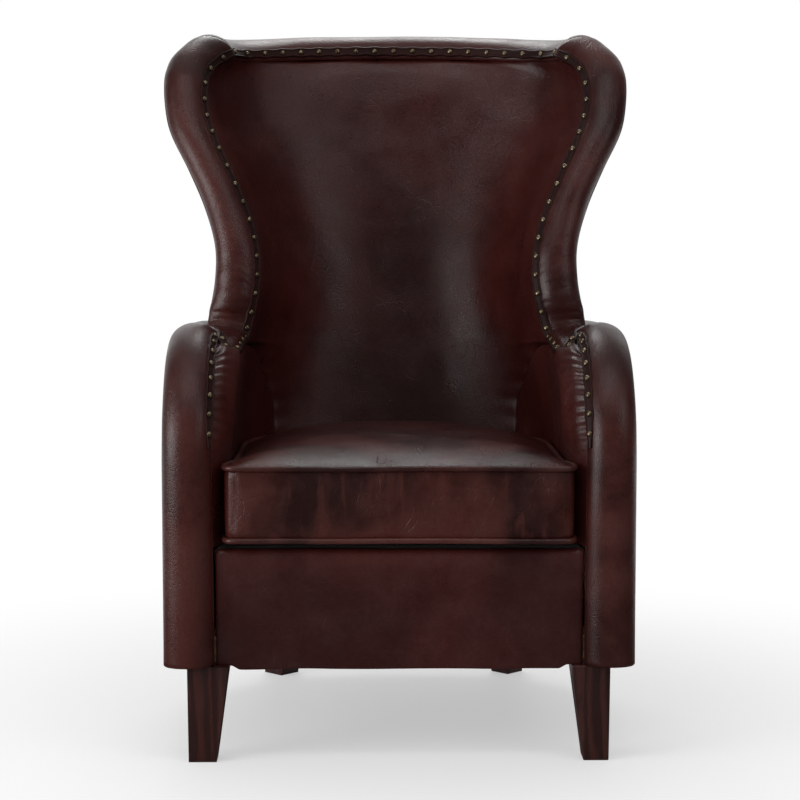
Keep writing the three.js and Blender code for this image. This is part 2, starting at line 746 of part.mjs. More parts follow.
// Legs, blocks and bolts, all on one bolt line at each corner.
const legTopHeight = baseHeight - clearance;
const blockTop = baseInside + blockHeight;
const corners = {
  front: {
    x: armHalfWidth - frontLegSideGap,
    depth: frontLegDepth,
    footX: armHalfWidth - frontFootSideGap,
    footDepth: frontFootDepth,
    turn: 0,
  },
  rear: {
    x: armHalfWidth - rearLegSideGap,
    depth: overallDepth - rearLegBackGap,
    footX: armHalfWidth - rearFootSideGap,
    footDepth: overallDepth - rearFootBackGap,
    turn: quarter * half,
  },
};
function square(x, depth, z, side, turn) {
  const across = side * half * Math.SQRT2;
  return steps(0, 3 * quarter, 3).map((angle) => {
    const aim = angle + turn + quarter * half;
    return point(x + across * Math.cos(aim), depth + across * Math.sin(aim), z);
  });
}
function cylinder(corner, radius, low, high) {
  const p = point(corner.x, corner.depth, mix(low, high, half));
  const upright = new THREE.CylinderGeometry(radius, radius, high - low, boltSides).rotateX(quarter);
  return upright.translate(p.x, p.y, p.z);
}
const cut = (geometry, hole) => fromSolid(toSolid(geometry).subtract(toSolid(hole)));
const boltLow = legTopHeight - boltLegDepth;
const boltHigh = baseInside + boltBlockDepth;
const bolt = (corner) => cylinder(corner, boltRadius, boltLow, boltHigh);
const boltBore = (corner, low, high) => cylinder(corner, boltRadius + clearance, low, high);

function leg(corner, top, foot) {
  const body = loft([
    square(corner.footX, corner.footDepth, 0, foot, corner.turn),
    square(corner.x, corner.depth, legTopHeight, top, corner.turn),
  ]);
  return cut(body, boltBore(corner, boltLow - clearance, baseHeight + hemGap));
}
const blockBore = (corner) => boltBore(corner, baseHeight, boltHigh + clearance);
const frontBlock = () =>
  cut(box(panelFace - blockLength, panelFace, railFront, railFront + blockDepth, baseInside, blockTop),
    blockBore(corners.front));
function rearBlock() {
  const { x, depth } = corners.rear;
  const diagonal = (p) => (p.x + p.y) * Math.SQRT1_2;
  const cross = (p) => (p.x - p.y) * Math.SQRT1_2;
  const legPlace = point(x, depth, 0);
  const near = steps(0, quarter, railSamples).map((turn) => innerLower(deckHeight, turn, railFar));
  const beside = near.filter((p) => Math.abs(cross(p) - cross(legPlace)) < rearBlockWidth * half);
  const inner = Math.max(...beside.map(diagonal)) + clearance;
  const corner = (along, side) => {
    const across = cross(legPlace) + side * rearBlockWidth * half;
    return new THREE.Vector3((along + across) * Math.SQRT1_2, (along - across) * Math.SQRT1_2, 0);
  };
  const outer = inner + rearBlockDepth;
  const outline = [corner(inner, -1), corner(inner, 1), corner(outer, 1), corner(outer, -1)];
  return cut(flat(outline, baseInside, blockTop), blockBore(corners.rear));
}
function mirrored(geometry) {
  const place = geometry.attributes.position;
  const points = Array.from({ length: place.count }, (_, i) =>
    mirrorPoint(new THREE.Vector3().fromBufferAttribute(place, i)),
  );
  const index = Array.from(geometry.index.array);
  const faces = index.flatMap((_, i) => (i % 3 ? [] : [index.slice(i, i + 3)]));
  return closedMesh(points, faces);
}
function dustCover() {
  let whole = toSolid(flat(dustOutline, baseHeight + clearance, baseInside - clearance));
  for (const corner of Object.values(corners)) {
    const bore = boltBore(corner, baseHeight - hemGap, baseInside + hemGap);
    whole = whole.subtract(toSolid(bore)).subtract(toSolid(mirrored(mergeVertices(bore))));
  }
  return fromSolid(whole);
}

// Cushion: its outline in plan, front half boxy, rear half rounded like the back.
const cushionTurns = steps(0, 4 * quarter, cushionSides).slice(0, -1);
function cushionOutline(turn, inset) {
  const [c, s] = [Math.cos(turn), Math.sin(turn)];
  const rear = s >= 0;
  const power = rear ? innerRoundness : cushionFrontRoundness;
  const reach = rear ? innerBack(deckHeight) - cushionBackGap : cushionFrontDepth;
  const run = Math.abs(signedPower(s, 2 / power)) * (reach - wingFootDepth);
  const depth = Math.min(wingFootDepth + run, cushionRearDepth);
  const blend = smooth((depth - armSeamFront) / armPadBlendDepth);
  const [frontHalf, rearHalf] = [armSeamLowHalfWidth - cushionFrontGap, seatHalfWidth - cushionSideGap];
  const side = mix(frontHalf, rearHalf, blend) - pipingRadius;
  const p = point(side * signedPower(c, 2 / power), depth, 0);
  const centre = point(0, wingFootDepth, 0);
  return p.addScaledVector(p.clone().sub(centre).normalize(), -inset);
}
const cushionRing = (inset, share, z) => {
  const centre = point(0, wingFootDepth, 0);
  return cushionTurns.map((turn) => centre.clone().lerp(cushionOutline(turn, inset), share).setZ(z));
};
const crowned = (share) => 1 - share ** cushionCrownPower;
const topRing = (share, inset, drop) =>
  cushionRing(inset, share, cushionTopHeight + cushionCrownHeight * crowned(share) - drop);
const bottomRing = (share, inset, lift) =>
  cushionRing(inset, share, cushionBottomHeight - cushionSagHeight * crowned(share) + lift);
const panelInset = pipingRadius + clearance;

// A panel's two skins as lofts of rings, joined at the rim and closed over the middle.
function panel(shares, ring, thickness) {
  const outer = shares.map((share) => ring(share, panelInset, 0));
  const inner = shares.map((share) => ring(share, panelInset, thickness));
  return loft([...outer.reverse(), ...inner]);
}
function core() {
  const skin = leatherThickness + clearance;
  return loft([
    ...bottomRingShares.map((share) => bottomRing(share, coreGap, skin)).reverse(),
    ...topRingShares.map((share) => topRing(share, coreGap, skin)),
  ]);
}
function boxing() {
  const low = cushionBottomHeight + pipingRadius + clearance;
  const high = cushionTopHeight - pipingRadius - clearance;
  const rings = (inset) => steps(0, 1, 2).map((share) =>
    cushionRing(inset - boxingBulgeDepth * (1 - (2 * share - 1) ** 2), 1, mix(low, high, share)));
  return loftRing([...rings(0), ...rings(leatherThickness).reverse()]);
}
// Rings of points joined one to the next, and the last to the first.
function loftRing(rings) {
  const sections = cushionTurns.map((_, k) => rings.map((ring) => ring[k]));
  return loft(sections, true);
}
function piping(z) {
  const centres = cushionRing(0, 1, z);
  const sections = centres.map((centre) => {
    const out = centre.clone().sub(point(0, wingFootDepth, z)).normalize();
    return steps(0, 4 * quarter, 5).slice(0, -1).map((turn) =>
      centre.clone()
        .addScaledVector(out, pipingRadius * Math.cos(turn))
        .add(new THREE.Vector3(0, 0, pipingRadius * Math.sin(turn))));
  });
  return loft(sections, true);
}
const zipDepth = cushionRearDepth + boxingBulgeDepth + clearance;
const zipMiddle = mix(cushionBottomHeight, cushionTopHeight, half);
const sliderDepth = zipDepth + zipThickness + clearance;
const pullDepth = sliderDepth + sliderThickness + clearance;
const sliderPlace = -(zipLength - sliderLength) * half;

// Each piece in its own node.
const looks = {
  leather: { color: 0x3a1512, roughness: 0.42, metalness: 0 },
  darkLeather: { color: 0x2a0f0d, roughness: 0.5, metalness: 0 },
  wood: { color: 0x2b120c, roughness: 0.45, metalness: 0 },
  board: { color: 0xb08a5a, roughness: 0.8, metalness: 0 },
  foam: { color: 0xe3d8b8, roughness: 0.95, metalness: 0 },
  cloth: { color: 0x232323, roughness: 0.95, metalness: 0 },
  steel: { color: 0x8a8c8f, roughness: 0.4, metalness: 1 },
  brass: { color: 0x6b5632, roughness: 0.4, metalness: 0.7 },
};
const chair = new THREE.Group();
function add(name, look, geometry) {
  const mesh = new THREE.Mesh(geometry, new THREE.MeshStandardMaterial(looks[look]));
  mesh.name = name;
  chair.add(mesh);
}
function addPair(name, look, geometry) {
  const indexed = geometry.index ? geometry : mergeVertices(geometry);
  add(`${name}_right`, look, indexed);
  add(`${name}_left`, look, mirrored(indexed));
}

addPair("leg_front", "wood", leg(corners.front, frontLegTopWidth, frontLegFootWidth));
addPair("leg_rear", "wood", leg(corners.rear, rearLegTopWidth, rearLegFootWidth));
addPair("leg_bolt_front", "steel", bolt(corners.front));
addPair("leg_bolt_rear", "steel", bolt(corners.rear));
addPair("corner_block_front", "board", frontBlock());
addPair("corner_block_rear", "board", rearBlock());
addPair("arm_frame", "board", armPanel());
addPair("wing_frame", "board",
  innerLayer([postRow, ...innerRows.slice(0, -2)], 0, sideColumns, boardNear, boardFar));

const frontRailHalf = panelFace - blockLength - clearance;
add("front_seat_rail", "board", box(-frontRailHalf, frontRailHalf, railFront, railFront + railThickness,
  baseInside, railTopHeight));
const railRow = (z) => ({ turns: postRow.turns, at: (turn, offset) => innerLower(z, turn, offset) });
const rearRailRows = [railRow(baseInside), railRow(railTopHeight)];
add("rear_seat_rail", "board", innerLayer(rearRailRows, 0, lastColumn, railNear, railFar));
const betweenPosts = (rows) =>
  rows.map((row) => ({ ...row, turns: pulledIn(row.turns.slice(sideColumns, -sideColumns), seamTurn) }));
const crossRail = (rows) => innerLayer(betweenPosts(rows), 0, backColumns, boardNear, boardFar);
add("lumbar_rail", "board", crossRail(innerRows.slice(0, 3)));
add("crest_rail", "board", crossRail(innerRows.slice(-4)));
const webbed = (row, column) => row % 2 === 0 || column % 2 === 0;
add("back_webbing", "cloth", innerLayer(innerRows.slice(1, -2), sideColumns, sideColumns + backColumns,
  webbingNear, webbingNear + webbingThickness, webbed));
add("seat_spring_unit", "steel", springUnit());
add("dust_cover", "cloth", dustCover());
add("deck_pad", "foam", flat(deckOutline, springTop + clearance, deckPadTop));
add("deck_cover", "cloth", flat(deckOutline, deckPadTop + clearance, deckHeight - clearance));

add("front_border_pad", "foam", box(-borderHalf, borderHalf, borderNear, borderNear + borderPadThickness,
  baseInside, borderTopHeight - leatherThickness - clearance));
add("front_border_cover", "leather", borderCover());
add("inside_back_pad", "foam", innerLayer(innerRows, 0, lastColumn, padNear, padFar));
add("inside_back_cover", "leather", innerLayer(innerRows, 0, lastColumn, 0, leatherThickness));
addPair("arm_pad", "foam", sheet(armGrid(armRows, () => padNear), armGrid(armRows, armPadFar)));
addPair("inside_arm_cover", "leather",
  sheet(armGrid([...armRows, armLip], () => 0), armGrid([...armRows, armLip], () => leatherThickness)));
addPair("arm_roll", "foam", roll(armFrames));
addPair("arm_band", "leather", band(armFrames));
const wingFrames = { right: borderFrames.slice(0, wingCount), left: borderFrames.slice(-wingCount) };
for (const [side, frames] of Object.entries(wingFrames)) {
  add(`wing_roll_${side}`, "foam", roll(frames));
  add(`wing_band_${side}`, "leather", band(frames));
}
add("crest_roll", "foam", roll(borderFrames.slice(wingCount, -wingCount)));
add("crest_band", "leather", band(borderFrames.slice(wingCount, -wingCount)));
add("nail_trim", "brass", nailTrim(borderFrames));
addPair("arm_nail_trim", "brass", nailTrim(armTrimFrames));
addPair("outside_arm_cover", "leather", outsideArm());
addPair("outside_wing_cover", "leather", outsideWing());
add("outside_back_cover", "leather", outsideBack());

add("cushion_core", "foam", core());
add("cushion_top_panel", "leather", panel(topRingShares, topRing, leatherThickness));
add("cushion_bottom_panel", "leather", panel(bottomRingShares, bottomRing, leatherThickness));
add("cushion_boxing", "leather", boxing());
add("cushion_piping_top", "leather", piping(cushionTopHeight));
add("cushion_piping_bottom", "leather", piping(cushionBottomHeight));
add("cushion_zip", "cloth", box(-zipLength * half, zipLength * half, zipDepth, zipDepth + zipThickness,
  zipMiddle - zipHeight * half, zipMiddle + zipHeight * half));
add("zip_slider", "brass", box(sliderPlace - sliderLength * half, sliderPlace + sliderLength * half,
  sliderDepth, sliderDepth + sliderThickness,
  zipMiddle - sliderHeight * half, zipMiddle + sliderHeight * half));
add("zip_pull", "brass", box(sliderPlace - pullWidth * half, sliderPlace + pullWidth * half, pullDepth,
  pullDepth + pullThickness, zipMiddle - pullLength, zipMiddle));

export default chair;
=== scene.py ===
"""Leather wingback armchair: covers, cushion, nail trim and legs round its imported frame."""

import json
import math

import bmesh
import bpy
import numpy as np
from mathutils import Matrix, Vector, noise


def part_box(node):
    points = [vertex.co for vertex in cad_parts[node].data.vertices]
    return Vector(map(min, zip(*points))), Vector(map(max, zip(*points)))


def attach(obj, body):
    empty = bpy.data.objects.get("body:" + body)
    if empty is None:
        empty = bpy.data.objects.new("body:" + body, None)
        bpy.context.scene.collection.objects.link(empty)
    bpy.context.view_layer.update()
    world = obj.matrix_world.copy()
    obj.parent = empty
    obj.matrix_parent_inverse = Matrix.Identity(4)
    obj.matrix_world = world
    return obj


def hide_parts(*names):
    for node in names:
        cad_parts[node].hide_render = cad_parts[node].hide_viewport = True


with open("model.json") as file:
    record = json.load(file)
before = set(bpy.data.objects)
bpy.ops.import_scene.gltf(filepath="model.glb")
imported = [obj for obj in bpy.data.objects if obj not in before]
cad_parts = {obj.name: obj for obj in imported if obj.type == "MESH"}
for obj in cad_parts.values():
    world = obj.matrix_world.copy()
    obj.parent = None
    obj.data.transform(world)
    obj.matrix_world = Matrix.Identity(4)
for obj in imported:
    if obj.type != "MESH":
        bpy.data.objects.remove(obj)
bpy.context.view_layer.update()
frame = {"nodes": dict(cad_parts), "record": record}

# Sizes in metres. Depths run back from the foremost plane of the arms.
OVERALL_DEPTH = 0.771
BASE, DECK, ARM_TOP, WING_FOOT = 0.145, 0.320, 0.617, 0.604
CUSHION_LOW, CUSHION_HIGH = 0.333, 0.440
WING_HALF, ARM_HALF, SEAT_HALF = 0.382, 0.350, 0.254
OUTER_CORNER, INNER_CORNER = 1.090, 1.072
OUTER_CREST, INNER_CREST = 0.0195, 0.0135
INNER_BACK, INNER_CREST_BACK, OUTER_BACK = 0.546, 0.6964, 0.690
INNER_ROUND, OUTER_ROUND = 2.4, 2.6
ROLL_DEPTH, ROLL_GAP = 0.028, 0.0007
ARM_SEAM_LOW, ARM_SEAM_HIGH = 0.274, 0.278
LEATHER, CLEARANCE, PAD = 0.002, 0.0003, 0.018
BEHIND_COVER = LEATHER + CLEARANCE + PAD
BACK_SEAM = 0.578  # Turn share of the seams of the outside back.
SHOULDER = 0.999  # Height from which the nails are spaced as seen from the front.
FOOT_HOLLOW = (0.257, 0.228)  # Place, from the middle and from the front, where a wing's foot rests on the arm.
QUARTER = math.pi / 2
SIDES = (("right", False), ("left", True))

# Wing from foot to shoulder: height share, inner and outer half width shares, depth share of its edge.
WING = (
    (0.0, 0.644, 0.8, 0.413),
    (0.06, 0.62, 0.793, 0.432),
    (0.184, 0.586, 0.767, 0.445),
    (0.301, 0.587, 0.767, 0.462),
    (0.43, 0.625, 0.812, 0.488),
    (0.564, 0.695, 0.885, 0.511),
    (0.688, 0.768, 0.963, 0.537),
    (0.771, 0.808, 0.99, 0.56),
    (0.878, 0.824, 1.0, 0.591),
    (0.936, 0.808, 0.987, 0.625),
    (0.974, 0.768, 0.955, 0.655),
    (1.0, 0.71, 0.916, 0.684),
)
# Seam of inside arm and inside back: height share from deck to wing foot, turn share of a quarter.
SEAM = (
    (0.0, 0.478),
    (0.42, 0.456),
    (0.62, 0.438),
    (0.7, 0.404),
    (0.8, 0.352),
    (0.91, 0.284),
    (0.975, 0.186),
    (1.0, 0.0),
)
ARM_FRONT = (0, 0.3, 0.5, 0.64, 0.76, 0.86, 0.93, 0.975)


def mix(a, b, share):
    return a + (b - a) * share


def clamp(value):
    return min(1.0, max(0.0, value))


def smooth(value):
    return clamp(value) ** 2 * (3 - 2 * clamp(value))


def power(value, exponent):
    return math.copysign(abs(value) ** exponent, value)


def fair(table, column, share):
    """Value of a table's column at a share of its first column, on a fair curve."""
    k = next((i for i in range(1, len(table)) if table[i][0] >= share), len(table) - 1)

    def slope(i):
        a, b = table[max(0, i - 1)], table[min(len(table) - 1, i + 1)]
        return (b[column] - a[column]) / (b[0] - a[0])

    low, high = table[k - 1], table[k]
    run = high[0] - low[0]
    t = (share - low[0]) / run
    ends = (1 + 2 * t) * (1 - t) ** 2 * low[column] + t * t * (3 - 2 * t) * high[column]
    return ends + run * (t * (1 - t) ** 2 * slope(k - 1) - t * t * (1 - t) * slope(k))


def at(x, depth, z):
    return Vector((x, depth - OVERALL_DEPTH / 2, z))


def wall(width, start, reach, roundness, turn, z, offset):
    """Point of a wall that is half of a rounded outline in plan, moved level by an offset."""
    c, s = math.cos(turn), math.sin(turn)
    x, run = width * power(c, 2 / roundness), (reach - start) * power(s, 2 / roundness)
    lean = Vector((
        power(x / width, roundness - 1) / width,
        power(run / (reach - start), roundness - 1) / (reach - start),
    )).normalized()
    return at(x + offset * lean.x, start + run + offset * lean.y, z)


def inner_back(z):
    return mix(INNER_BACK, INNER_CREST_BACK, max(0, (z - DECK) / (INNER_CORNER - DECK)))


def outer_back(z):
    return mix(OUTER_BACK, OVERALL_DEPTH, (z - BASE) / (OUTER_CORNER - BASE))


WING_FOOT_DEPTH = WING[0][3] * OVERALL_DEPTH
SEAM_FRONT = ROLL_DEPTH + ROLL_GAP
TURN_END = WING_FOOT_DEPTH - 0.0164
TURN_START = TURN_END - 0.097
CURVE_DEPTH = 0.936 * (TURN_START - SEAM_FRONT)
CURVE_LOW = ARM_TOP - 0.177


def rise_share(share):
    return smooth((share - 0.77) / 0.23)


def bow(turn):
    return math.sin(turn) ** 2


def inner_wing(share, turn, offset=0.0):
    z = mix(WING_FOOT, INNER_CORNER, share)
    width, start = fair(WING, 1, share) * WING_HALF, fair(WING, 3, share) * OVERALL_DEPTH
    raised = z + INNER_CREST * rise_share(share) * bow(turn)
    return wall(width, start, inner_back(z), INNER_ROUND, turn, raised, offset)


def lower_width(z):
    return mix(SEAT_HALF, WING[0][1] * WING_HALF, smooth((z - CUSHION_HIGH) / (WING_FOOT - CUSHION_HIGH)))


def inner_lower(z, turn, offset=0.0):
    return wall(lower_width(z), WING_FOOT_DEPTH, inner_back(z), INNER_ROUND, turn, z, offset)


def outer_lower(z, turn, offset=0.0):
    return wall(ARM_HALF, WING_FOOT_DEPTH, outer_back(z), OUTER_ROUND, turn, z, offset)


def outer_wing(share, turn, offset=0.0):
    z = mix(ARM_TOP + CLEARANCE, OUTER_CORNER, share)
    width, start = fair(WING, 2, share) * WING_HALF, fair(WING, 3, share) * OVERALL_DEPTH
    fade = 1 - (1 - width / ARM_HALF) * abs(math.cos(turn)) ** 3
    raised = z + OUTER_CREST * rise_share(share) * bow(turn)
    p = wall(ARM_HALF, start, outer_back(z), OUTER_ROUND, turn, raised, offset)
    return Vector((p.x * fade, p.y, p.z))


def arm_seam_depth(z):
    """Depth of the seam line of the arm's front, and of its top where it has bent back."""
    if z <= CURVE_LOW:
        return SEAM_FRONT
    climb = min(1.0, (z - CURVE_LOW) / (ARM_TOP - CURVE_LOW))
    return SEAM_FRONT + CURVE_DEPTH * (1 - math.sqrt(1 - climb * climb))


def arm_seam_x(z):
    return mix(ARM_SEAM_LOW, ARM_SEAM_HIGH, clamp((z - BASE) / (ARM_TOP - BASE)))


def arm_top_x(depth):
    return mix(ARM_SEAM_HIGH, WING[0][2] * WING_HALF + 0.0012, smooth((depth - TURN_START) / (TURN_END - TURN_START)))


# Grids of points, each with its normals and its distances from the grid's edges.
def surface(rows, columns, place):
    """Points of place(across, up), both from 0 to 1."""
    return np.array([[place(c / columns, r / rows) for c in range(columns + 1)] for r in range(rows + 1)])


def facing(grid, towards):
    """Unit normals of a grid, on the side that the vector points to at its middle."""
    n = np.cross(np.gradient(grid, axis=1), np.gradient(grid, axis=0))
    n /= np.maximum(np.linalg.norm(n, axis=2, keepdims=True), 1e-12)
    middle = n[n.shape[0] // 2, n.shape[1] // 2]
    return n if float(middle @ np.array(towards)) > 0 else -n


def runs(grid):
    """Lengths over the surface from its left, right, lower and upper edge."""
    across = np.linalg.norm(np.diff(grid, axis=1), axis=2)
    left = np.concatenate([np.zeros((grid.shape[0], 1)), np.cumsum(across, axis=1)], axis=1)
    up = np.linalg.norm(np.diff(grid, axis=0), axis=2)
    low = np.concatenate([np.zeros((1, grid.shape[1])), np.cumsum(up, axis=0)], axis=0)
    return left, left[:, -1:] - left, low, low[-1:, :] - low


def rounded(distance, radius, depth):
    """How far an edge turns in at a distance from it."""
    t = np.clip(1 - distance / radius, 0, 1)
    return depth * (1 - np.sqrt(np.clip(1 - t * t, 0, 1)))


def smooth_steps(values):
    held = np.clip(values, 0, 1)
    return held * held * (3 - 2 * held)


def waves(grid, size, seed):
    """Soft random swell over a grid, about -1 to 1."""
    shift = Vector((seed, 2.3 * seed, -1.7 * seed))
    flat = grid.reshape(-1, 3) / size
    values = [noise.noise(Vector(p) + shift) for p in flat]
    return np.array(values).reshape(grid.shape[:2])


def mirrored(grid):
    return grid * np.array([-1.0, 1.0, 1.0])


def nearest(*distances):
    return np.minimum.reduce(distances)


def unit(rows):
    return rows / np.linalg.norm(rows, axis=1, keepdims=True)


def outward(bm):
    bmesh.ops.recalc_face_normals(bm, faces=bm.faces[:])


def sharp_edges(bm):
    return [e for e in bm.edges if e.calc_face_angle(0) > 1.0]


def ease(bm, edges, offset, segments):
    bmesh.ops.bevel(bm, geom=edges, offset=offset, segments=segments, affect="EDGES", profile=0.5, material=-1)


def grid_body(name, front, back, wear_and_sheen=None, mirror=False):
    """A closed body between a front and a back grid of points."""
    if mirror:
        front, back = mirrored(front), mirrored(back)
    rows, columns = front.shape[0] - 1, front.shape[1] - 1
    bm = bmesh.new()
    bmesh.ops.create_grid(bm, x_segments=columns, y_segments=rows, size=0.5)
    for v in bmesh.ops.extrude_face_region(bm, geom=bm.faces[:], use_keep_orig=True)["geom"]:
        if isinstance(v, bmesh.types.BMVert):
            v.co.z = 1
    left, _, low, _ = runs(front)
    run = bm.verts.layers.float_vector.new("run")
    worn_and_sheen = bm.verts.layers.float.new("wear_and_sheen")
    for v in bm.verts:
        r, c = round((v.co.y + 0.5) * rows), round((v.co.x + 0.5) * columns)
        v[run] = (left[r, c], low[r, c], 0)
        v[worn_and_sheen] = 0.0 if wear_and_sheen is None else float(wear_and_sheen[r, c])
        v.co = (back if v.co.z > 0.5 else front)[r, c]
    outward(bm)
    uv = bm.loops.layers.uv.new("run")
    for face in bm.faces:
        face.smooth = True
        for loop in face.loops:
            loop[uv].uv = loop.vert[run].xy
    for edge in bm.edges:
        edge.smooth = len(edge.link_faces) < 2 or edge.calc_face_angle(0) < 1.1
    return place_piece(name, bm)


def place_piece(name, bm):
    mesh = bpy.data.meshes.new(name)
    bm.to_mesh(mesh)
    bm.free()
    piece = bpy.data.objects.new(name, mesh)
    bpy.context.scene.collection.objects.link(piece)
    return piece


def settle(piece, material, nodes=(), body="frame"):
    """Gives a piece its finish and its body, and hides the nodes that it stands for."""
    piece.data.materials.clear()
    piece.data.materials.append(material)
    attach(piece, body)
    if nodes:
        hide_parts(*nodes)
    return piece


# Materials.
def node_group(name, inputs, outputs):
    group = bpy.data.node_groups.new(name, "ShaderNodeTree")
    for label, kind, value in inputs:
        socket = group.interface.new_socket(label, in_out="INPUT", socket_type=kind)
        socket.default_value = value
    for label, kind in outputs:
        group.interface.new_socket(label, in_out="OUTPUT", socket_type=kind)
    return group, group.nodes.new("NodeGroupInput"), group.nodes.new("NodeGroupOutput")


def add_node(tree, kind, settings=None, **sockets):
    """A node with its settings; sockets take a value or another node's output."""
    node = tree.nodes.new(kind)
    for key, value in (settings or {}).items():
        setattr(node, key, value)
    for key, value in sockets.items():
        name = key.replace("_", " ")
        socket = node.inputs[int(key[1:])] if key[0] == "i" and key[1:].isdigit() else node.inputs[name]
        if isinstance(value, bpy.types.NodeSocket):
            tree.links.new(value, socket)
        else:
            socket.default_value = value
    return node


def maths(tree, operation, a, b=0.5, c=0.0, held=False):
    node = add_node(tree, "ShaderNodeMath", {"operation": operation, "use_clamp": held}, i0=a, i1=b, i2=c)
    return node.outputs[0]


def times(tree, a, b, held=False):
    return maths(tree, "MULTIPLY", a, b, held=held)


def ranged(tree, value, low, high, to_low=0.0, to_high=1.0):
    node = add_node(tree, "ShaderNodeMapRange", {"interpolation_type": "SMOOTHSTEP"}, i0=value, i1=low, i2=high,
                    i3=to_low, i4=to_high)
    return node.outputs[0]


def colour_mix(tree, factor, a, b, kind="MIX"):
    node = add_node(tree, "ShaderNodeMix", {"data_type": "RGBA", "blend_type": kind, "clamp_factor": True},
                    i0=factor, i6=a, i7=b)
    return node.outputs[2]


def object_noise(tree, place, size, detail=2.0, distortion=0.0):
    return add_node(tree, "ShaderNodeTexNoise", Vector=place, Scale=1 / size, Detail=detail,
                    Distortion=distortion).outputs[0]


def build_hide():
    """Antiqued leather: patches of dark and red stain, pebbled grain, fine creases, and a lighter wear colour that
    stands for real wear at edges and seams and, on some pieces, for painted highlight.
    """
    group, given, out = node_group(
        "antiqued_hide",
        (
            ("Deep", "NodeSocketColor", (0.02, 0.006, 0.005, 1)),
            ("Warm", "NodeSocketColor", (0.05, 0.012, 0.009, 1)),
            ("Worn", "NodeSocketColor", (0.1, 0.03, 0.02, 1)),
            ("Patches", "NodeSocketFloat", 0.5),
            ("Crease", "NodeSocketFloat", 0.3),
        ),
        (("Color", "NodeSocketColor"), ("Roughness", "NodeSocketFloat"), ("Height", "NodeSocketFloat")),
    )
    place = add_node(group, "ShaderNodeTexCoord").outputs["Object"]
    broad = object_noise(group, place, 0.21, 3, 0.6)
    patch = object_noise(group, place, 0.06, 5, 0.3)
    speck = object_noise(group, place, 0.006, 4)
    stain = maths(group, "ADD", times(group, broad, 0.65), times(group, patch, 0.35))
    shade = times(group, ranged(group, stain, 0.4, 0.66), given.outputs["Patches"])
    colour = colour_mix(group, shade, given.outputs["Deep"], given.outputs["Warm"])
    # Lighter wear colour laid by a per-vertex value: wear at edges and seams, and painted highlight on the bands and
    # the cushion's front.
    wear_and_sheen = add_node(group, "ShaderNodeAttribute", {"attribute_name": "wear_and_sheen"}).outputs["Fac"]
    wear_and_sheen_mask = times(group, wear_and_sheen, ranged(group, stain, 0.38, 0.62), held=True)
    colour = colour_mix(group, wear_and_sheen_mask, colour, given.outputs["Worn"])
    tone = ranged(group, speck, 0.3, 0.7, 0.93, 1.07)
    toned = add_node(group, "ShaderNodeVectorMath", {"operation": "SCALE"}, i0=colour, Scale=tone)
    pebble = add_node(group, "ShaderNodeTexVoronoi", {"feature": "SMOOTH_F1"}, Vector=place, Scale=620.0,
                      Smoothness=0.4).outputs["Distance"]
    shift = add_node(group, "ShaderNodeTexNoise", Vector=place, Scale=18.0, Detail=3.0).outputs["Color"]
    shift = add_node(group, "ShaderNodeVectorMath", {"operation": "SCALE"}, i0=shift, Scale=0.05).outputs[0]
    bent = add_node(group, "ShaderNodeVectorMath", {"operation": "ADD"}, i0=place, i1=shift).outputs[0]
    crack = add_node(group, "ShaderNodeTexVoronoi", {"feature": "DISTANCE_TO_EDGE"}, Vector=bent,
                     Scale=38.0).outputs["Distance"]
    crack = ranged(group, crack, 0.0, 0.05, 1.0, 0.0)
    crack = times(group, crack, ranged(group, patch, 0.5, 0.68))
    crack = times(group, crack, given.outputs["Crease"])
    relief = maths(group, "MULTIPLY_ADD", pebble, -0.5, times(group, speck, 0.3))
    relief = maths(group, "SUBTRACT", relief, crack)
    gloss = ranged(group, maths(group, "ADD", patch, times(group, speck, 0.4)), 0.45, 0.95, 0.27, 0.41)
    group.links.new(toned.outputs[0], out.inputs["Color"])
    group.links.new(gloss, out.inputs["Roughness"])
    group.links.new(relief, out.inputs["Height"])
    return group


def build_wood_grain():
    """Stained timber: long rings along Z, pores and darker streaks."""
    group, given, out = node_group(
        "timber_grain",
        (
            ("Light", "NodeSocketColor", (0.5, 0.3, 0.15, 1)),
            ("Dark", "NodeSocketColor", (0.3, 0.16, 0.07, 1)),
            ("Length", "NodeSocketVector", (1, 1, 0.08)),
        ),
        (("Color", "NodeSocketColor"), ("Roughness", "NodeSocketFloat"), ("Height", "NodeSocketFloat")),
    )
    place = add_node(group, "ShaderNodeTexCoord").outputs["Object"]
    drawn = add_node(group, "ShaderNodeVectorMath", {"operation": "MULTIPLY"}, i0=place, i1=given.outputs["Length"])
    rings = add_node(group, "ShaderNodeTexWave", {"bands_direction": "DIAGONAL"}, Vector=drawn.outputs[0], Scale=32.0,
                     Distortion=7.0, Detail=3.0, Detail_Scale=1.4).outputs["Fac"]
    pores = add_node(group, "ShaderNodeTexNoise", Vector=drawn.outputs[0], Scale=700.0, Detail=3.0).outputs[0]
    streak = add_node(group, "ShaderNodeTexNoise", Vector=drawn.outputs[0], Scale=60.0, Detail=4.0).outputs[0]
    tone = maths(group, "ADD", times(group, rings, 0.45), times(group, streak, 0.55))
    colour = colour_mix(group, ranged(group, tone, 0.25, 0.75), given.outputs["Dark"], given.outputs["Light"])
    pit = ranged(group, pores, 0.34, 0.42)
    colour = colour_mix(group, maths(group, "SUBTRACT", 1.0, pit), colour, given.outputs["Dark"])
    group.links.new(colour, out.inputs["Color"])
    group.links.new(ranged(group, streak, 0.3, 0.7, 0.3, 0.44), out.inputs["Roughness"])
    group.links.new(maths(group, "ADD", pit, times(group, rings, 0.3)), out.inputs["Height"])
    return group


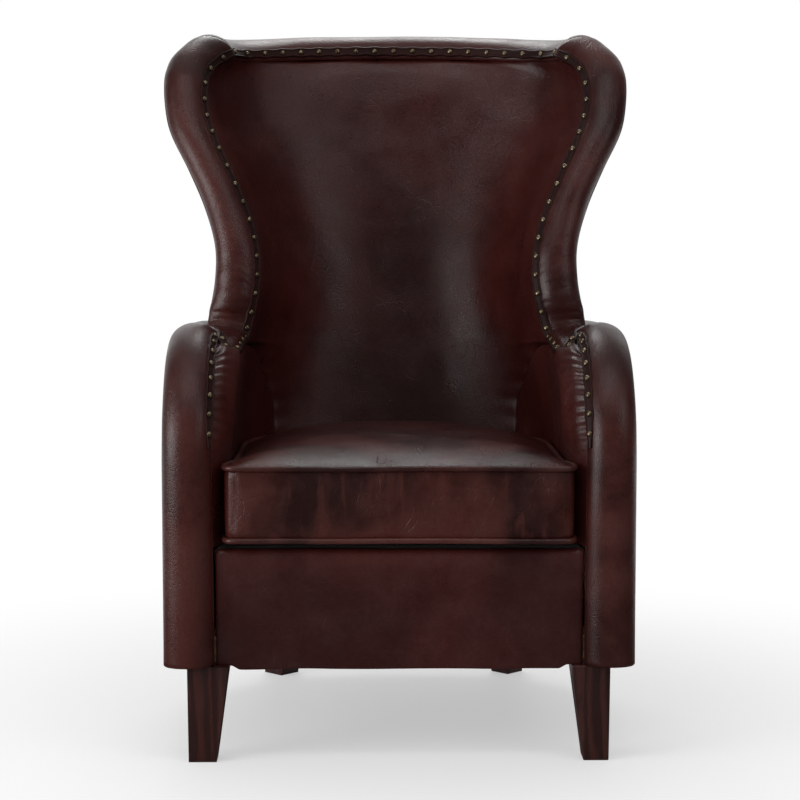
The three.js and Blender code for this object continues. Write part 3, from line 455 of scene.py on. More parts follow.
def build_weave():
    """Plain woven cloth: crossing yarns on Object coordinates."""
    group, given, out = node_group(
        "plain_weave",
        (
            ("Yarn", "NodeSocketColor", (0.03, 0.03, 0.03, 1)),
            ("Gap", "NodeSocketColor", (0.01, 0.01, 0.01, 1)),
            ("Pitch", "NodeSocketFloat", 900.0),
        ),
        (("Color", "NodeSocketColor"), ("Height", "NodeSocketFloat")),
    )
    place = add_node(group, "ShaderNodeTexCoord").outputs["Object"]
    parts = add_node(group, "ShaderNodeSeparateXYZ", Vector=place)
    warp = maths(group, "SINE", times(group, parts.outputs[0], given.outputs["Pitch"]), 0.0)
    upright = maths(group, "ADD", parts.outputs[1], parts.outputs[2])
    weft = maths(group, "SINE", times(group, upright, given.outputs["Pitch"]), 0.0)
    knot = maths(group, "MULTIPLY_ADD", times(group, warp, weft), 0.5, 0.5)
    fuzz = object_noise(group, place, 0.004, 3)
    shade = times(group, knot, ranged(group, fuzz, 0.2, 0.8, 0.7, 1.0))
    group.links.new(colour_mix(group, shade, given.outputs["Gap"], given.outputs["Yarn"]), out.inputs["Color"])
    group.links.new(knot, out.inputs["Height"])
    return group


HIDE, TIMBER, WEAVE = build_hide(), build_wood_grain(), build_weave()


def new_material(name, shown):
    material = bpy.data.materials.new(name)
    material.use_nodes = True
    material.diffuse_color = (*shown, 1)
    tree = material.node_tree
    return material, tree, tree.nodes["Principled BSDF"]


def grouped(tree, group, **values):
    node = tree.nodes.new("ShaderNodeGroup")
    node.node_tree = group
    for key, value in values.items():
        node.inputs[key].default_value = value
    return node


def bumped(tree, shader, height, depth, strength=1.0):
    bump = add_node(tree, "ShaderNodeBump", Strength=strength, Distance=depth, Height=height)
    tree.links.new(bump.outputs[0], shader.inputs["Normal"])


def leather(name, deep, warm, worn_and_sheen, patches=0.8, crease=0.5, relief=0.0005, matt=0.0, shine=0.5, extra=None):
    material, tree, shader = new_material(name, warm)
    hide = grouped(tree, HIDE, Deep=(*deep, 1), Warm=(*warm, 1), Worn=(*worn_and_sheen, 1), Patches=patches, Crease=crease)
    colour, height = hide.outputs["Color"], hide.outputs["Height"]
    if extra:
        folds, streaks = extra(tree)
        height = maths(tree, "ADD", height, folds)
        colour = colour_mix(tree, streaks, colour, (*worn_and_sheen, 1))
    tree.links.new(colour, shader.inputs["Base Color"])
    tree.links.new(maths(tree, "ADD", hide.outputs["Roughness"], matt), shader.inputs["Roughness"])
    bumped(tree, shader, height, relief)
    shader.inputs["Specular IOR Level"].default_value = shine
    return material


def boxing_creases(tree):
    """Upright creases of the cushion's boxing, uneven and broken, and the paler streaks between them."""
    place = add_node(tree, "ShaderNodeTexCoord").outputs["Object"]
    drawn = add_node(tree, "ShaderNodeVectorMath", {"operation": "MULTIPLY"}, i0=place,
                     i1=(1.0, 1.0, 0.16)).outputs[0]
    lines = add_node(tree, "ShaderNodeTexNoise", {"noise_type": "RIDGED_MULTIFRACTAL"}, Vector=drawn, Scale=30.0,
                     Detail=3.0).outputs[0]
    where = ranged(tree, object_noise(tree, place, 0.07, 2), 0.42, 0.62)
    side = add_node(tree, "ShaderNodeAttribute", {"attribute_name": "boxing"}).outputs["Fac"]
    folds = times(tree, times(tree, ranged(tree, lines, 0.55, 1.1), -3.0), where)
    paler = ranged(tree, object_noise(tree, drawn, 0.016, 4, 0.4), 0.5, 0.72, 0.0, 0.55)
    return times(tree, folds, side), times(tree, paler, side)


# Each hide's third colour is its lighter wear colour; on the bands and the cushion it is also laid as painted
# highlight.
COVER = leather("antiqued_leather", (0.033, 0.0056, 0.0046), (0.06, 0.0106, 0.0083), (0.085, 0.019, 0.015))
BAND = leather("antiqued_leather_bands", (0.024, 0.0045, 0.0037), (0.048, 0.0088, 0.0067), (0.075, 0.017, 0.013),
               shine=0.45)
CUSHION = leather("antiqued_leather_cushion", (0.0205, 0.0037, 0.0028), (0.05, 0.0088, 0.0063),
                  (0.082, 0.0175, 0.0125), patches=1.0, crease=0.8, shine=0.45, extra=boxing_creases)
WELT = leather("leather_piping", (0.024, 0.0058, 0.0048), (0.05, 0.0115, 0.009), (0.085, 0.023, 0.018), crease=0.2)
STRIP = leather("leather_trim_strip", (0.014, 0.0032, 0.0025), (0.024, 0.0056, 0.0043), (0.045, 0.0125, 0.0095),
                crease=0.2, relief=0.0003, matt=0.18, shine=0.2)


def stained_wood():
    material, tree, shader = new_material("dark_stained_wood", (0.05, 0.014, 0.01))
    grain = grouped(tree, TIMBER, Light=(0.052, 0.012, 0.0085, 1), Dark=(0.026, 0.0066, 0.0048, 1))
    tree.links.new(grain.outputs["Color"], shader.inputs["Base Color"])
    tree.links.new(grain.outputs["Roughness"], shader.inputs["Roughness"])
    bumped(tree, shader, grain.outputs["Height"], 0.00015, 0.6)
    shader.inputs["Coat Weight"].default_value = 0.25
    shader.inputs["Coat Roughness"].default_value = 0.2
    return material


def raw_board():
    material, tree, shader = new_material("raw_board", (0.5, 0.33, 0.18))
    grain = grouped(tree, TIMBER, Light=(0.52, 0.35, 0.19, 1), Dark=(0.34, 0.2, 0.1, 1), Length=(0.15, 1.0, 1.0))
    tree.links.new(grain.outputs["Color"], shader.inputs["Base Color"])
    bumped(tree, shader, grain.outputs["Height"], 0.0003, 0.7)
    shader.inputs["Roughness"].default_value = 0.78
    return material


def woven(name, yarn, gap, pitch, relief=0.0003):
    material, tree, shader = new_material(name, yarn)
    cloth = grouped(tree, WEAVE, Yarn=(*yarn, 1), Gap=(*gap, 1), Pitch=pitch)
    tree.links.new(cloth.outputs["Color"], shader.inputs["Base Color"])
    bumped(tree, shader, cloth.outputs["Height"], relief)
    shader.inputs["Roughness"].default_value = 0.92
    shader.inputs["Sheen Weight"].default_value = 0.15
    return material


def metal(name, bright, dull, shine, grime_size=0.004):
    """Metal with dull patches of age where its surface noise runs low."""
    material, tree, shader = new_material(name, bright)
    place = add_node(tree, "ShaderNodeTexCoord").outputs["Object"]
    age = object_noise(tree, place, grime_size, 4)
    broad = object_noise(tree, place, 0.05, 2)
    mask = ranged(tree, maths(tree, "ADD", age, times(tree, broad, 0.4)), 0.5, 0.85)
    tree.links.new(colour_mix(tree, mask, (*dull, 1), (*bright, 1)), shader.inputs["Base Color"])
    tree.links.new(ranged(tree, age, 0.3, 0.7, shine + 0.2, shine), shader.inputs["Roughness"])
    bumped(tree, shader, age, 0.0001, 0.5)
    shader.inputs["Metallic"].default_value = 1.0
    return material


WOOD, BOARD = stained_wood(), raw_board()
DUST_CLOTH = woven("black_dust_cloth", (0.022, 0.021, 0.021), (0.006, 0.006, 0.006), 1500.0)
DECK_CLOTH = woven("brown_deck_cloth", (0.045, 0.025, 0.02), (0.012, 0.006, 0.005), 1800.0)
WEBBING = woven("jute_webbing", (0.34, 0.22, 0.11), (0.13, 0.075, 0.035), 1200.0, 0.0005)
TAPE = woven("zip_tape", (0.028, 0.012, 0.01), (0.008, 0.004, 0.003), 3000.0, 0.0002)
BRASS = metal("antique_brass", (0.4, 0.31, 0.2), (0.12, 0.088, 0.055), 0.32, 0.0025)
STEEL = metal("plated_steel", (0.5, 0.5, 0.5), (0.25, 0.24, 0.23), 0.35)

NODE_FINISH = {"steel": STEEL, "frame_board": BOARD, "leg_wood": WOOD, "zip_metal": BRASS}
for entry in frame["record"]["subparts"]:
    finish = NODE_FINISH.get(entry["material_slot"])
    if finish:
        node = frame["nodes"][entry["node"]]
        node.data.materials.clear()
        node.data.materials.append(finish)


# Inside back: one hide over the back and the insides of both wings.
BACK_ROWS, BACK_COLUMNS = 190, 210
PULL_PITCH, GATHER_PITCH, FOLD_PITCH = 0.033, 0.0165, 0.0135  # Of puckers at the back's edge, arm and wing band.
PILLOW, PULL, GATHER, BELLY, FOLD = 0.0085, 0.0010, 0.0021, 0.009, 0.0018


def inside_back_point(across, up):
    z = mix(DECK + CLEARANCE, INNER_CORNER, up)
    aside = abs(2 * across - 1)
    lower = (z - DECK - CLEARANCE) / (WING_FOOT - DECK - CLEARANCE)
    edge = 0.0 if lower >= 1 else clamp(fair(SEAM, 1, lower))
    share = 1 - aside * (1 - edge)
    turn = share * QUARTER
    if across > 0.5:
        turn = math.pi - turn
    if z < WING_FOOT:
        return inner_lower(z, turn)
    return inner_wing((z - WING_FOOT) / (INNER_CORNER - WING_FOOT), turn)


def build_inside_back():
    grid = surface(BACK_ROWS, BACK_COLUMNS, inside_back_point)
    out = facing(grid, (0, -1, 0))
    left, right, low, top = runs(grid)
    sides, rim = nearest(left, right), nearest(left, right, top)
    pillow = rounded(sides, 0.06, PILLOW) + rounded(top, 0.055, PILLOW) + rounded(rim, 0.006, 0.001)
    pillow -= 0.0045 * smooth_steps(rim / 0.08)
    swell = 0.0030 * waves(grid, 0.17, 3.0) + 0.0008 * waves(grid, 0.05, 8.0)
    pulls = PULL * np.exp(-rim / 0.016) * np.cos(2 * math.pi * low / PULL_PITCH)
    front = grid - out * (pillow - swell * np.clip(rim / 0.05, 0, 1) - pulls)[..., None]
    front[..., 2] += 0.0022 * np.exp(-top / 0.005) * np.clip(sides / 0.03, 0, 1)
    back = grid - out * BEHIND_COVER
    wear_and_sheen = np.exp(-rim / 0.02) * 0.4
    piece = grid_body("inside_back", front, back, wear_and_sheen)
    return settle(piece, COVER, ("inside_back_cover", "inside_back_pad"))


# Inside arms: from the arm's trim back to the seam with the inside back.
def inside_arm_row(row):
    """Front height, end height and end turn of a row from 0 at the deck to 7 under the wing's foot."""
    table = [(i, front, *SEAM[i]) for i, front in enumerate(ARM_FRONT)]
    front_z = mix(DECK + CLEARANCE, ARM_TOP - CLEARANCE, fair(table, 1, row))
    end_z = mix(DECK + CLEARANCE, WING_FOOT, fair(table, 2, row)) - 0.0006 * clamp(row)
    return front_z, end_z, max(0.0, fair(table, 3, row) * QUARTER - 0.004)


def seat_side(z, depth):
    width = lower_width(z)
    if depth <= WING_FOOT_DEPTH:
        return width
    share = min(1.0, (depth - WING_FOOT_DEPTH) / (inner_back(z) - WING_FOOT_DEPTH))
    return width * (1 - share**INNER_ROUND) ** (1 / INNER_ROUND)


def inside_arm_point(across, up):
    row = up * 8
    front_z, end_z, turn = inside_arm_row(min(7.0, row))
    end = inner_lower(end_z, turn).y + OVERALL_DEPTH / 2
    front = arm_seam_depth(front_z) + CLEARANCE
    depth, z = mix(front, end, across), mix(front_z, end_z, across)
    p = at(mix(arm_seam_x(front_z), seat_side(z, depth), smooth((depth - front) / 0.075)), depth, z)
    if row <= 7:
        return p
    lip_depth = mix(arm_seam_depth(ARM_TOP) + CLEARANCE, TURN_END, across)
    return p.lerp(at(arm_top_x(lip_depth), lip_depth, ARM_TOP - CLEARANCE), row - 7)


def build_inside_arms():
    grid = surface(150, 150, inside_arm_point)
    out = facing(grid, (-1, 0, 0))
    left, right, low, top = runs(grid)
    rim, trim = nearest(left, right, top), nearest(left, top)
    upper = np.clip((grid[..., 2] - 0.43) / 0.06, 0, 1)
    gather = np.sin(2 * math.pi * (low + 0.35 * left) / GATHER_PITCH + 3.0 * waves(grid, 0.05, 5.0))
    gather = GATHER * np.exp(-((trim / 0.028) ** 1.4)) * upper * (gather - 0.4)
    swell = 0.0018 * waves(grid, 0.08, 6.0) * np.clip(rim / 0.04, 0, 1)
    belly = BELLY * smooth_steps(trim / 0.034) * np.exp(-trim / 0.09) * upper
    beside, along = grid[..., 0] - FOOT_HOLLOW[0], grid[..., 1] + OVERALL_DEPTH / 2 - FOOT_HOLLOW[1]
    foot = (along / 0.042) ** 2 + (beside / 0.02) ** 2
    belly -= 0.0125 * np.exp(-foot) * np.clip((grid[..., 2] - 0.585) / 0.02, 0, 1)
    depth = rounded(rim, 0.022, 0.006) + rounded(rim, 0.006, 0.0015) - gather - swell - belly
    depth += rounded(left, 0.036, 0.006) * upper
    front = grid - out * depth[..., None]
    thick = np.minimum(BEHIND_COVER, np.maximum(0.004 + depth, 0.008 + top * 0.4))
    back = grid - out * thick[..., None]
    wear_and_sheen = np.exp(-rim / 0.015) * 0.5
    for side, mirror in SIDES:
        piece = grid_body(f"inside_arm_{side}", front, back, wear_and_sheen, mirror)
        settle(piece, COVER, (f"inside_arm_cover_{side}", f"arm_pad_{side}"))


# Rolled edges over arms, wings and crest: stations join the inner seam to the outer seam.
class Roll:
    """A rolled edge through stations of (inner seam point, outer seam point, rise)."""

    def __init__(self, stations, window=0.02):
        self.inner = np.array([s[0] for s in stations])
        self.outer = np.array([s[1] for s in stations])
        self.rise = np.array([s[2] for s in stations])
        self.middle = (self.inner + self.outer) / 2
        step = np.linalg.norm(np.diff(self.middle, axis=0), axis=1)
        self.reach = np.concatenate([[0], np.cumsum(step)])
        self.length = self.reach[-1]
        chord = self.outer - self.inner
        self.half = np.linalg.norm(chord, axis=1) / 2
        self.across = chord / np.maximum(2 * self.half[:, None], 1e-9)
        ahead = self.sample(self.middle, self.reach + window) - self.sample(self.middle, self.reach - window)
        out = np.cross(chord, ahead)
        out *= np.where(out[:, 2] - out[:, 1] < 0, -1, 1)[:, None]
        out = unit(out)
        out = sum(self.sample(out, self.reach + k * window / 3) for k in range(-3, 4))
        self.out = unit(out - self.across * np.sum(out * self.across, axis=1, keepdims=True))

    def sample(self, values, reach):
        reach = np.clip(reach, 0, self.length)
        if values.ndim == 1:
            return np.interp(reach, self.reach, values)
        return np.stack([np.interp(reach, self.reach, values[:, k]) for k in range(3)], axis=1)

    def line(self, reach, turn, floor=False):
        """Points at reaches along the roll, at a turn from 0, the inner seam, to pi, the outer one."""
        reach = np.atleast_1d(np.asarray(reach, float))
        half, rise = self.sample(self.half, reach), self.sample(self.rise, reach)
        high = ROLL_GAP + (0 if floor else rise * math.sin(turn))
        move = self.sample(self.across, reach) * (-half * math.cos(turn))[:, None]
        return self.sample(self.middle, reach) + move + self.sample(self.out, reach) * np.reshape(high, (-1, 1))

    def grid(self, start, end, spacing, columns, floor=False):
        """Rows along the roll from start(turn) to end(turn), columns over it."""
        turns = [math.pi * k / columns for k in range(columns + 1)]
        rows = round((end(0) - start(0)) / spacing)
        reach = np.stack([np.linspace(start(turn), end(turn), rows + 1) for turn in turns], axis=1)
        lines = [self.line(reach[:, k], turn, floor) for k, turn in enumerate(turns)]
        return np.stack(lines, axis=1), reach


def wing_station(share):
    return inner_wing(share, 0), outer_wing(share, 0), mix(0.009, 0.028, smooth(share / 0.16))


def crest_station(share):
    rise = mix(0.028, 0.030, smooth(share) * smooth(2 - share))
    return inner_wing(1, share * QUARTER), outer_wing(1, share * QUARTER), rise


def swapped(station):
    return tuple(Vector((-p.x, p.y, p.z)) for p in station[:2]) + (station[2],)


def arm_stations():
    def front(z):
        depth = arm_seam_depth(z)
        return at(arm_seam_x(z), depth, z), at(ARM_HALF, depth, z)

    made = [front(mix(BASE, CURVE_LOW, k / 60)) for k in range(60)]
    for k in range(80):
        turn = QUARTER * k / 80
        z, depth = CURVE_LOW + (ARM_TOP - CURVE_LOW) * math.sin(turn), SEAM_FRONT + CURVE_DEPTH * (1 - math.cos(turn))
        made.append((at(arm_seam_x(z), depth, z), at(ARM_HALF, depth, z)))
    for k in range(50):
        depth = mix(SEAM_FRONT + CURVE_DEPTH, TURN_END, k / 50)
        made.append((at(arm_top_x(depth), depth, ARM_TOP), at(ARM_HALF, depth, ARM_TOP)))
    for k in range(90):
        turn = 0.4624 * QUARTER * k / 89
        inner = outer_wing(0, turn, 0.0012)
        made.append((Vector((inner.x, inner.y, ARM_TOP)), outer_lower(ARM_TOP, turn)))
    full = ARM_HALF - ARM_SEAM_HIGH
    return [(a, b, ROLL_DEPTH * min(1, (a - b).length / full) ** 0.75) for a, b in made]


wing_stations = [wing_station(k / 180) for k in range(180)]
crest_stations = [crest_station(2 * k / 260) for k in range(261)]
BORDER = Roll(wing_stations + crest_stations + [swapped(s) for s in reversed(wing_stations)])
WING_REACH = float(BORDER.reach[180])
ARM = Roll(arm_stations())
TRIM_START, TRIM_END = float(ARM.reach[68]), float(ARM.reach[137])


def band_body(name, roll, start, end, spacing, shape, mirror=False):
    grid, reach = roll.grid(start, end, spacing, 40)
    floor, _ = roll.grid(start, end, spacing, 40, floor=True)
    out = facing(grid, tuple(roll.sample(roll.out, reach[len(reach) // 2, :1])[0]))
    depth, wear_and_sheen = shape(grid, reach)
    front = grid - out * depth[..., None]
    floor = floor + (front - floor) * 0.02
    return grid_body(name, front, floor, wear_and_sheen, mirror)


def wing_shape(grid, reach):
    left, right, low, top = runs(grid)
    seams = nearest(left, right)
    across = left / (left + right)
    foot = np.clip(1 - (reach - 0.004) / 0.17, 0, 1) ** 1.3
    wave = 2 * math.pi * reach / FOLD_PITCH + 7.0 * waves(grid, 0.05, 2.0) + 2.4 * across
    patchy = np.clip(0.55 + 1.5 * waves(grid, 0.03, 12.0), 0, 1.2)
    folds = FOLD * foot * patchy * np.clip(seams / 0.012, 0, 1) * (1 - np.abs(np.sin(wave / 2)) ** 0.6)
    broad = 0.0012 * foot * np.sin(wave / 3.1 + 2 * across)
    swell = 0.0012 * waves(grid, 0.09, 4.0)
    lap = 0.0016 * smooth_steps((reach - WING_REACH + 0.03) / 0.026)
    ends = rounded(low, 0.004, 0.0015) + rounded(top, 0.0022, 0.0022)
    depth = rounded(seams, 0.006, 0.002) + ends + folds + broad - swell - lap
    # Lighter colour in a stripe toward the outer seam, less near the foot: partly wear, partly a painted highlight
    # along the band's outer half.
    wear_and_sheen = np.clip(0.25 + 0.5 * np.exp(-((across - 0.62) / 0.16) ** 2), 0, 1) * (1 - 0.4 * foot)
    return depth, wear_and_sheen


def crest_shape(grid, reach):
    left, right, low, top = runs(grid)
    seams = nearest(left, right)
    swell = 0.0012 * waves(grid, 0.08, 7.0)
    ends = nearest(low, top)
    flush = 0.0055 * np.exp(-((ends / 0.1) ** 2)) * np.sin(np.pi * np.clip(left / (left + right), 0, 1)) ** 2
    depth = rounded(seams, 0.006, 0.002) + rounded(ends, 0.004, 0.002) + 0.0004 - swell - flush
    return depth, 0.3 + 0 * left


def arm_shape(grid, reach):
    left, right, low, top = runs(grid)
    seams = nearest(left, right)
    across = left / (left + right)
    swell = 0.0014 * waves(grid, 0.11, 9.0)
    depth = rounded(seams, 0.007, 0.0025) + rounded(nearest(low, top), 0.004, 0.002) - swell
    # Lighter colour at the seams is wear; the stripe down the middle of the band, strongest low on the front, is
    # partly wear and partly painted highlight and painted floor reflection.
    face = np.exp(-(((across - 0.5) / 0.3) ** 2))
    knee = np.exp(-(((reach - 0.2) / 0.17) ** 2))
    wear_and_sheen = np.clip(0.35 * face + 0.45 * knee * face + 0.3 * np.exp(-seams / 0.006), 0, 1)
    return depth, wear_and_sheen


def build_bands():
    total = BORDER.length

    def seam(turn):
        return WING_REACH + 0.003 + 0.006 * math.sin(turn)

    def crest_seam(turn):
        return seam(turn) - 0.005

    for side, mirror in SIDES:
        wing = band_body(f"wing_band_{side}_padded", BORDER, lambda turn: 0.0, seam, 0.0022, wing_shape, mirror)
        settle(wing, BAND, (f"wing_band_{side}", f"wing_roll_{side}"))
        arm = band_body(f"arm_band_{side}_padded", ARM, lambda turn: 0.0, lambda turn: ARM.length, 0.0035,
                        arm_shape, mirror)
        settle(arm, BAND, (f"arm_band_{side}", f"arm_roll_{side}"))
    crest = band_body("crest_band_padded", BORDER, crest_seam, lambda turn: total - crest_seam(turn), 0.004,
                      crest_shape)
    settle(crest, BAND, ("crest_band", "crest_roll"))


# Nail trim: a folded strip with domed heads along its middle.
STRIP_HALF, STRIP_STEP, NAIL, NAIL_PITCH = 0.0080, 0.0022, 0.0047, 0.034
# Under a wing's foot: where the strip leaves the wing, and its way round the foot's tip.
FOOT_START = 0.012
FOOT_CURVE = (
    (0.2490, 0.262, 0.6085),
    (0.2500, 0.230, 0.6035),
    (0.2560, 0.202, 0.6010),
    (0.2655, 0.204, 0.6060),
    (0.2730, 0.224, 0.6160),
    (0.2770, 0.248, 0.6270),
)


def strip_height(share):
    """Height of the strip at a share of its half width: a raised bead near each edge."""
    aside = abs(share)
    return 0.0010 + 0.0015 * math.exp(-(((aside - 0.74) / 0.15) ** 2)) - 0.0012 * aside**8


def smoothed(values):
    """Rows of values averaged with their neighbours along the strip."""
    weights = np.exp(-((np.arange(-15, 16) / 5) ** 2))
    padded = np.pad(values, ((15, 15), (0, 0)), mode="reflect", reflect_type="odd")
    columns = [np.convolve(padded[:, k], weights / weights.sum(), mode="valid") for k in range(values.shape[1])]
    return np.stack(columns, axis=1)


def squared(lean, path):
    """Unit leans square to a path, and the unit directions across both."""
    ahead = unit(np.gradient(path, axis=0))
    lean = unit(lean - ahead * np.sum(lean * ahead, axis=1, keepdims=True))
    return lean, np.cross(lean, ahead)


def turned_forward(path, along, out):
    """Frames of a strip leant towards the front, along its path."""
    lean, side = squared(out + np.array([0.0, -0.55, 0.0]), path)
    return side * np.sign(np.sum(side * along, axis=1, keepdims=True)), lean


def trim_frames(roll, start, end):
    """Middle line of a strip on a roll, with the directions across it and away from the roll."""
    reach = np.linspace(start, end, round((end - start) / STRIP_STEP) + 1)
    low, high = roll.line(reach, 0.045 * math.pi), roll.line(reach, 0.235 * math.pi)
    middle = roll.line(reach, 0.14 * math.pi)
    along = unit(high - low)
    out = np.cross(along, np.gradient(middle, axis=0))
    out = unit(out * np.sign(np.sum(out * roll.sample(roll.out, reach), axis=1, keepdims=True)))
    middle = smoothed(middle)
    side, lean = turned_forward(middle, smoothed(along), smoothed(out))
    return middle + lean * 0.0012, side, lean


def fair_path(points, spacing):
    """Evenly spaced points of a fair curve through a few points."""
    table = [(k, *p) for k, p in enumerate(points)]
    fine = np.array([[fair(table, c, s) for c in (1, 2, 3)] for s in np.linspace(0, len(points) - 1, 300)])
    run = np.concatenate([[0], np.cumsum(np.linalg.norm(np.diff(fine, axis=0), axis=1))])
    stops = np.linspace(0, run[-1], round(run[-1] / spacing) + 1)
    return np.stack([np.interp(stops, run, fine[:, c]) for c in range(3)], axis=1)


def foot_path(wing_end):
    return fair_path([wing_end, *(at(*p) for p in FOOT_CURVE)], STRIP_STEP)


def wing_trim_frames():
    """Strip of wings and crest, carried round under both wing feet."""
    middle, side, lean = trim_frames(BORDER, FOOT_START, BORDER.length - FOOT_START)
    path = foot_path(Vector(middle[0]))
    share = smooth_steps(np.linspace(0, 1.6, len(path)))[:, None]
    facing_in = np.array([-0.25, -0.62, 0.74])
    lean_foot, side_foot = squared(lean[0] * (1 - share) + facing_in * share, path)
    side_foot *= 1 if float(side_foot[0] @ side[0]) > 0 else -1
    path = path + lean_foot * 0.0015

    def join(foot, rest):
        return np.concatenate([foot[:0:-1], rest, mirrored(foot[1:])])

    return join(path, middle), join(side_foot, side), join(lean_foot, lean)


def nail_stops(middle):
    """Runs of the nails: closer round the shoulders and under the wing feet."""
    run = np.concatenate([[0], np.cumsum(np.linalg.norm(np.diff(middle, axis=0), axis=1))])
    ahead = unit(np.gradient(middle, axis=0))
    reach = 9
    bend = np.linalg.norm(ahead[2 * reach:] - ahead[:-2 * reach], axis=1) / (2 * reach * STRIP_STEP)
    bend = np.pad(bend, reach, mode="edge")
    shown = np.where(middle[:, 2] > SHOULDER, np.sqrt(1 - np.minimum(1, ahead[:, 1] ** 2)), 1.0)
    pitch = np.maximum(0.6, 1 - bend * 0.022) * NAIL_PITCH / np.maximum(0.4, shown)
    density = np.concatenate([[0], np.cumsum(np.diff(run) / pitch[1:])])
    count = int(density[-1])
    return run, np.interp(np.arange(count) + (density[-1] - count + 1) / 2, density, run)


def build_trim(name, frames, nodes, mirror=False):
    middle, side, lean = frames
    run, stops = nail_stops(middle)
    nearest = np.min(np.abs(run[:, None] - stops[None, :]), axis=1)
    swing = 0.0008 * np.cos(np.clip(nearest / 0.0165, 0, 1) * math.pi)
    drift = np.array([0.0006 * noise.noise(Vector((9 * d, 4.0, 1.0))) for d in run])
    half = (STRIP_HALF + swing) * (0.4 + 0.6 * smooth_steps(np.minimum(run, run[-1] - run) / 0.045))
    shares = [k / 10 for k in range(-10, 11)]
    front, back = [], []
    for share in shares:
        level = middle + side * (share * half + drift)[:, None]
        front.append(level + lean * strip_height(share))
        back.append(level - lean * 0.0045)
    front, back = np.stack(front, axis=1), np.stack(back, axis=1)
    wear_and_sheen = np.zeros(front.shape[:2]) + np.array([0.35 if 0.5 < abs(s) < 0.9 else 0.1 for s in shares])
    settle(grid_body(name, front, back, wear_and_sheen, mirror), STRIP, nodes)
    if mirror:
        middle, lean = mirrored(middle), mirrored(lean)
    bm = bmesh.new()
    for k, stop in enumerate(stops):
        place, lift = (Vector([float(np.interp(stop, run, a[:, i])) for i in range(3)]) for a in (middle, lean))
        skew = Vector((math.sin(7.1 * k), math.cos(5.3 * k), math.sin(3.7 * k))) * 0.07
        turn = (lift.normalized() + skew).to_track_quat("Z", "Y").to_matrix().to_4x4()
        flat = Matrix.Diagonal((1, 1, 0.66, 1))
        bmesh.ops.create_uvsphere(bm, u_segments=14, v_segments=8, radius=NAIL,
                                  matrix=Matrix.Translation(place + lift * 0.0012) @ turn @ flat)
    for face in bm.faces:
        face.smooth = True
    settle(place_piece(f"{name}_nail_heads", bm), BRASS)


def build_foot_folds():
    """Puffed end of each wing band, tucked down between the inside arm and the arm's top."""
    rim = foot_path(Vector(trim_frames(BORDER, FOOT_START, 0.1)[0][0]))
    columns, rows = 36, 26
    index = np.linspace(0, len(rim) - 1, columns + 1)
    rim = np.stack([np.interp(index, np.arange(len(rim)), rim[:, c]) for c in range(3)], axis=1)
    root = np.stack([BORDER.line([0.016], math.pi * k / columns)[0] for k in range(columns + 1)])
    up = np.array([-0.35, -0.5, 0.79])
    front = []
    for r in range(rows + 1):
        v = r / rows
        line = root * (1 - v) + rim * v
        turns = np.array([math.sin(math.pi * k / columns) ** 0.7 for k in range(columns + 1)])
        puff = 0.012 * math.sin(math.pi * min(1.0, 0.12 + 0.88 * v)) ** 0.8 * turns
        front.append(line + up * puff[:, None])
    front = np.stack(front)
    out = facing(front, tuple(up))
    crumple = 0.0012 * waves(front, 0.010, 21.0) + 0.0022 * waves(front, 0.026, 22.0)
    front = front + out * crumple[..., None]
    back = front - up * 0.006
    for side, mirror in SIDES:
        settle(grid_body(f"wing_foot_fold_{side}", front, back, None, mirror), BAND, ())


# Outside covers.
BACK_SEAM_TURN, SEAM_SLIT = BACK_SEAM * QUARTER, 0.0035
REAR_RUN = 0.3  # Length over which an arm's outside cover goes round its rear corner.
SEAM_WELT, WELT_LIFT = 0.0026, 0.0004


def outside_arm_point(across, up):
    z = mix(BASE, ARM_TOP, up)
    front = arm_seam_depth(z)
    side = WING_FOOT_DEPTH - front
    run = across * (side + REAR_RUN)
    if run < side:
        return at(ARM_HALF, front + run, z)
    return outer_lower(z, (run - side) / REAR_RUN * (BACK_SEAM_TURN - SEAM_SLIT))


def outside_wing_point(across, up):
    return outer_wing(up, across * (BACK_SEAM_TURN - SEAM_SLIT))


def outside_back_point(across, up):
    """Lower half of the rows up to the arms' height, upper half from there to the crest."""
    turn = mix(BACK_SEAM_TURN + SEAM_SLIT, (2 - BACK_SEAM) * QUARTER - SEAM_SLIT, across)
    return outer_lower(mix(BASE, ARM_TOP, 2 * up), turn) if up < 0.5 else outer_wing(2 * up - 1, turn)


def outside_cover(name, grid, towards, node, mirror):
    out = facing(grid, towards)
    left, right, low, top = runs(grid)
    rim = nearest(left, right, low, top)
    swell = 0.0012 * waves(grid, 0.12, 11.0) * np.clip(rim / 0.05, 0, 1)
    front = grid + out * (swell - rounded(rim, 0.005, 0.0012))[..., None]
    piece = grid_body(name, front, grid - out * LEATHER, 0.3 * np.exp(-rim / 0.02), mirror)
    settle(piece, COVER, (node,))


def build_outside():
    covers = (
        ("arm", surface(90, 120, outside_arm_point)),
        ("wing", surface(110, 70, outside_wing_point)),
    )
    for side, mirror in SIDES:
        for part, grid in covers:
            outside_cover(f"outside_{part}_{side}", grid, (1, 0, 0), f"outside_{part}_cover_{side}", mirror)
    outside_cover("outside_back", surface(200, 120, outside_back_point), (0, 1, 0), "outside_back_cover", False)
    line = [outer_lower(mix(BASE + 0.002, ARM_TOP, k / 60), BACK_SEAM_TURN, WELT_LIFT) for k in range(60)]
    line += [outer_wing(k / 80, BACK_SEAM_TURN, WELT_LIFT) for k in range(79)]
    path = np.array(line)
    for side, mirror in SIDES:
        welt = tube(f"back_seam_welt_{side}", mirrored(path) if mirror else path, SEAM_WELT, 10)
        settle(welt, WELT)


